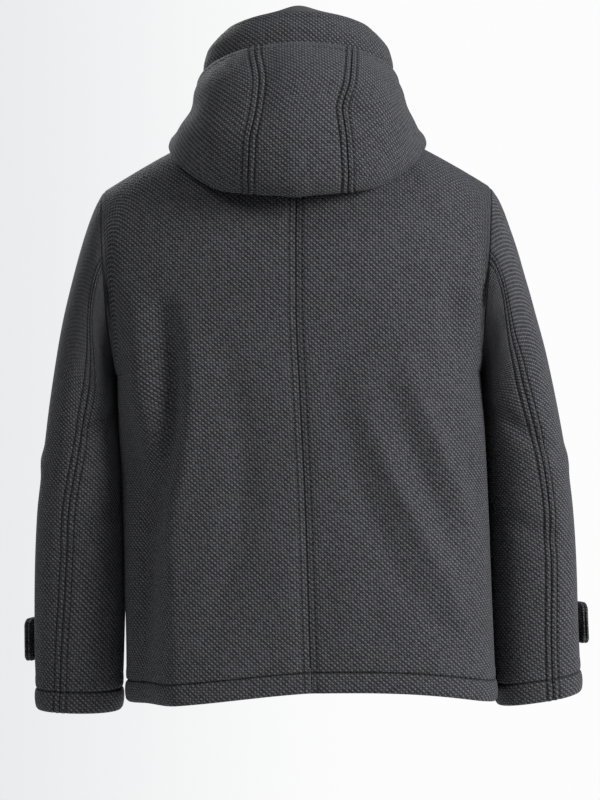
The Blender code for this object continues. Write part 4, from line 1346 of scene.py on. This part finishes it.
def make_button(name, node):
    """A four-hole button modelled flat, then laid on its solid's place and direction."""
    corners = np.array([tuple(v.co) for v in bpy.data.objects[node].data.vertices])
    middle = corners.mean(axis=0)
    axis = Vector(np.linalg.eigh(np.cov((corners - middle).T))[1][:, 0])
    if axis.dot(Vector((math.copysign(1, middle[0]) if "tab" in node else 0, -1, 0))) < 0:
        axis.negate()
    place = Matrix.Translation(Vector(middle)) @ axis.to_track_quat("Z", "Y").to_matrix().to_4x4()

    bpy.ops.object.select_all(action="DESELECT")
    bpy.ops.mesh.primitive_cylinder_add(vertices=64, radius=BUTTON_RADIUS * MM, depth=BUTTON_THICK * MM)
    button = bpy.context.object
    button.name = name
    mesh = button.data
    shape = bmesh.new()
    shape.from_mesh(mesh)
    dish, slope = BUTTON_DISH
    for width, depth in ((BUTTON_RIM, 0.0), (slope, dish)):
        top = [f for f in shape.faces if f.normal.z > 0.9 and len(f.verts) > 8]
        bmesh.ops.inset_region(shape, faces=top, thickness=width * MM, depth=-depth * MM)
    shape.to_mesh(mesh)
    shape.free()
    round_rims(button, BUTTON_EDGE, segments=3, angle=35)
    ways = [(math.cos(math.radians(turn)), math.sin(math.radians(turn))) for turn in (45, 135, 225, 315)]
    for x, y in ways:
        spot = (HOLE_AWAY * MM * x, HOLE_AWAY * MM * y, 0)
        bpy.ops.mesh.primitive_cylinder_add(
            vertices=16, radius=HOLE_RADIUS * MM, depth=3 * BUTTON_THICK * MM, location=spot
        )
        drill = bpy.context.object
        cut = button.modifiers.new("hole", "BOOLEAN")
        cut.operation = "DIFFERENCE"
        cut.object = drill
        bpy.context.view_layer.objects.active = button
        bpy.ops.object.modifier_apply(modifier=cut.name)
        bpy.data.objects.remove(drill, do_unlink=True)
    mesh.transform(place)
    mesh.materials.clear()
    mesh.materials.append(stored("black_button", button_material))
    mesh.shade_smooth()
    mesh.set_sharp_from_angle(angle=math.radians(40))
    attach(button, "root")
    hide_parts(node)

    # Two crossed threads arch over the dish, from hole to hole.
    runs = []
    for x, y in ways[:2]:
        line = []
        for t in np.linspace(-1, 1, 9):
            high = BUTTON_THICK / 2 - dish + 0.9 * (1 - t**4)
            point = Vector((HOLE_AWAY * x * t, HOLE_AWAY * y * t, high))
            line.append(tuple((place @ (point * MM)) * (1 / MM)))
        runs.append((np.array(line), np.tile(np.array(tuple(axis)), (len(line), 1))))
    thread_piece(name + "_thread", runs, "button", length=5.6, gap=0.3, radius=0.55, sink=0.0)


def make_buttons():
    for number in range(1, FRONT_BUTTONS + 1):
        make_button("button_front_%d" % number, "front_button_%d" % number)
    for _, hand in SIDES:
        make_button("button_cuff_" + hand, "tab_button_" + hand)


# ------------------------------------------------------------------ stage
PHOTO_HEIGHT = 0.992  # what the photograph's height spans at the coat's middle, in metres
CAMERA_DISTANCE = 2.6
CAMERA_Z = -0.35
FLOOR_Z = -1.42
FLOOR_RADIUS = 2.4
SENSOR = 36.0


def add_area(name, place, target, size, watts):
    lamp = bpy.data.lights.new(name, "AREA")
    lamp.shape = "DISK"
    lamp.size = size
    lamp.energy = watts
    holder = bpy.data.objects.new(name, lamp)
    bpy.context.scene.collection.objects.link(holder)
    holder.location = place
    way = Vector(target) - Vector(place)
    holder.rotation_euler = way.to_track_quat("-Z", "Y").to_euler()


def make_stage():
    scene = bpy.context.scene
    bpy.ops.object.select_all(action="DESELECT")
    bpy.ops.mesh.primitive_circle_add(vertices=96, radius=FLOOR_RADIUS, fill_type="NGON")
    floor = bpy.context.object
    floor.name = "floor"
    floor.data.transform(Matrix.Translation((0, 0, FLOOR_Z)))
    floor.data.materials.append(stored("pale_floor", floor_material))

    camera = bpy.data.cameras.new("camera")
    camera.sensor_width = SENSOR
    camera.lens = SENSOR * CAMERA_DISTANCE / PHOTO_HEIGHT
    holder = bpy.data.objects.new("camera", camera)
    scene.collection.objects.link(holder)
    holder.location = (0, CAMERA_DISTANCE, CAMERA_Z)
    holder.rotation_euler = (math.radians(90), 0, math.radians(180))
    scene.camera = holder

    light = scene.coat_light
    add_area("key", (-2.5, 1.75, 0.8), (0, 0, -0.4), 1.5, light.key_power)
    add_area("fill", (1.0, 1.2, 1.2), (0.12, 0.1, 0.0), 0.7, light.fill_power)
    add_area("front_key", (1.2, -2.6, 1.4), (0, 0, -0.3), 1.2, light.front_power)

    world = bpy.data.worlds.new("studio")
    scene.world = world
    world.use_nodes = True
    w = Wiring(world.node_tree)
    x, y, _ = w.split("XYZ", w.add("TexCoord").outputs["Generated"])
    studio = w.blend(w.spread(x, -0.16, 0.2), color(1.0, 1.01, 1.02), color(0.38, 0.39, 0.41))
    studio = w.blend(w.spread(y, 0.1, 0.9, 0.0, 0.7), studio, color(0.1, 0.1, 0.1))
    backdrop = w.blend(w.spread(x, -0.05, 0.2), color(1.22, 1.22, 1.22), color(1.0, 1.01, 1.03))
    sky = w.blend(w.spread(y, -0.90, -0.96), studio, backdrop)
    w.fill(world.node_tree.nodes["Background"], {"Color": sky, "Strength": light.sky})
    scene.view_settings.view_transform = "Standard"
    scene.view_settings.look = "None"


# ------------------------------------------------------------------ add-on classes
class CoatCloth(bpy.types.PropertyGroup):
    """Sizes and colours of the coat's cloth"""

    yarn_pitch: bpy.props.FloatProperty(
        name="Yarn pitch", description="Distance from one yarn to the next", default=0.00335, unit="LENGTH"
    )
    weave_depth: bpy.props.FloatProperty(
        name="Weave depth", description="Height of the yarns above the gaps", default=0.001, unit="LENGTH"
    )
    diagonal: bpy.props.FloatProperty(
        name="Diagonal", description="How far the weave's diagonal lines stand out", default=0.4
    )
    # Dark end of the wool's colour, which is also the painted shade in the weave's gaps.
    wool_dark_and_gap_shade: bpy.props.FloatVectorProperty(
        name="Wool, dark",
        description="Colour in the gaps of the weave",
        subtype="COLOR",
        default=(0.011, 0.011, 0.0125),
    )
    # Light end of the wool's colour, which is also the painted highlight on the yarns' tops.
    wool_light_and_yarn_highlight: bpy.props.FloatVectorProperty(
        name="Wool, light",
        description="Colour on top of the yarns",
        subtype="COLOR",
        default=(0.080, 0.080, 0.090),
    )
    facing_grey: bpy.props.FloatVectorProperty(
        name="Facing",
        description="Colour of the collar's smooth facing",
        subtype="COLOR",
        default=(0.045, 0.045, 0.05),
    )


class CoatLight(bpy.types.PropertyGroup):
    """Strength of the studio lights"""

    key_power: bpy.props.FloatProperty(
        name="Key", description="Main light, from the upper right", default=158.0, subtype="POWER"
    )
    fill_power: bpy.props.FloatProperty(
        name="Fill", description="Soft light from the left", default=14.0, subtype="POWER"
    )
    front_power: bpy.props.FloatProperty(
        name="Front", description="Light on the coat's front", default=90.0, subtype="POWER"
    )
    sky: bpy.props.FloatProperty(
        name="Sky", description="Strength of the pale surroundings", default=0.8
    )


class COAT_OT_body(bpy.types.Operator):
    """Makes the four body panels with their seams and stitching"""

    bl_idname = "coat.body"
    bl_label = "Body panels"

    def execute(self, context):
        make_body()
        return {"FINISHED"}


class COAT_OT_sleeves(bpy.types.Operator):
    """Makes both two-piece sleeves with their cuffs and stitching"""

    bl_idname = "coat.sleeves"
    bl_label = "Sleeves"

    def execute(self, context):
        make_sleeves()
        return {"FINISHED"}


class COAT_OT_tabs(bpy.types.Operator):
    """Makes the two-layer tabs round the cuffs"""

    bl_idname = "coat.tabs"
    bl_label = "Cuff tabs"

    def execute(self, context):
        make_tabs()
        return {"FINISHED"}


class COAT_OT_collar(bpy.types.Operator):
    """Makes the stand collar and its smooth facing"""

    bl_idname = "coat.collar"
    bl_label = "Collar"

    def execute(self, context):
        make_collar()
        return {"FINISHED"}


class COAT_OT_hood(bpy.types.Operator):
    """Makes the three panels of the hood"""

    bl_idname = "coat.hood"
    bl_label = "Hood"

    def execute(self, context):
        make_hood()
        return {"FINISHED"}


class COAT_OT_buttons(bpy.types.Operator):
    """Makes the buttons and the thread in their holes"""

    bl_idname = "coat.buttons"
    bl_label = "Buttons"

    def execute(self, context):
        make_buttons()
        return {"FINISHED"}


class COAT_OT_stage(bpy.types.Operator):
    """Makes the pale floor, the studio lights and the camera"""

    bl_idname = "coat.stage"
    bl_label = "Stage"

    def execute(self, context):
        make_stage()
        return {"FINISHED"}


STEPS = ("body", "sleeves", "tabs", "collar", "hood", "buttons", "stage")


class COAT_PT_panel(bpy.types.Panel):
    """Lists the steps that dress the coat"""

    bl_label = "Hooded coat"
    bl_idname = "COAT_PT_panel"
    bl_space_type = "VIEW_3D"
    bl_region_type = "UI"
    bl_category = "Coat"

    def draw(self, context):
        for settings in (context.scene.coat_cloth, context.scene.coat_light):
            for name in type(settings).__annotations__:
                self.layout.prop(settings, name)
        for step in STEPS:
            self.layout.operator("coat." + step)


CLASSES = (
    CoatCloth,
    CoatLight,
    COAT_OT_body,
    COAT_OT_sleeves,
    COAT_OT_tabs,
    COAT_OT_collar,
    COAT_OT_hood,
    COAT_OT_buttons,
    COAT_OT_stage,
    COAT_PT_panel,
)


def register():
    for cls in CLASSES:
        bpy.utils.register_class(cls)
    bpy.types.Scene.coat_cloth = bpy.props.PointerProperty(type=CoatCloth)
    bpy.types.Scene.coat_light = bpy.props.PointerProperty(type=CoatLight)


def unregister():
    del bpy.types.Scene.coat_cloth
    del bpy.types.Scene.coat_light
    for cls in reversed(CLASSES):
        bpy.utils.unregister_class(cls)


def main():
    register()
    bpy.ops.object.select_all(action="DESELECT")
    for step in STEPS:
        getattr(bpy.ops.coat, step)()


if __name__ == "__main__":
    main()
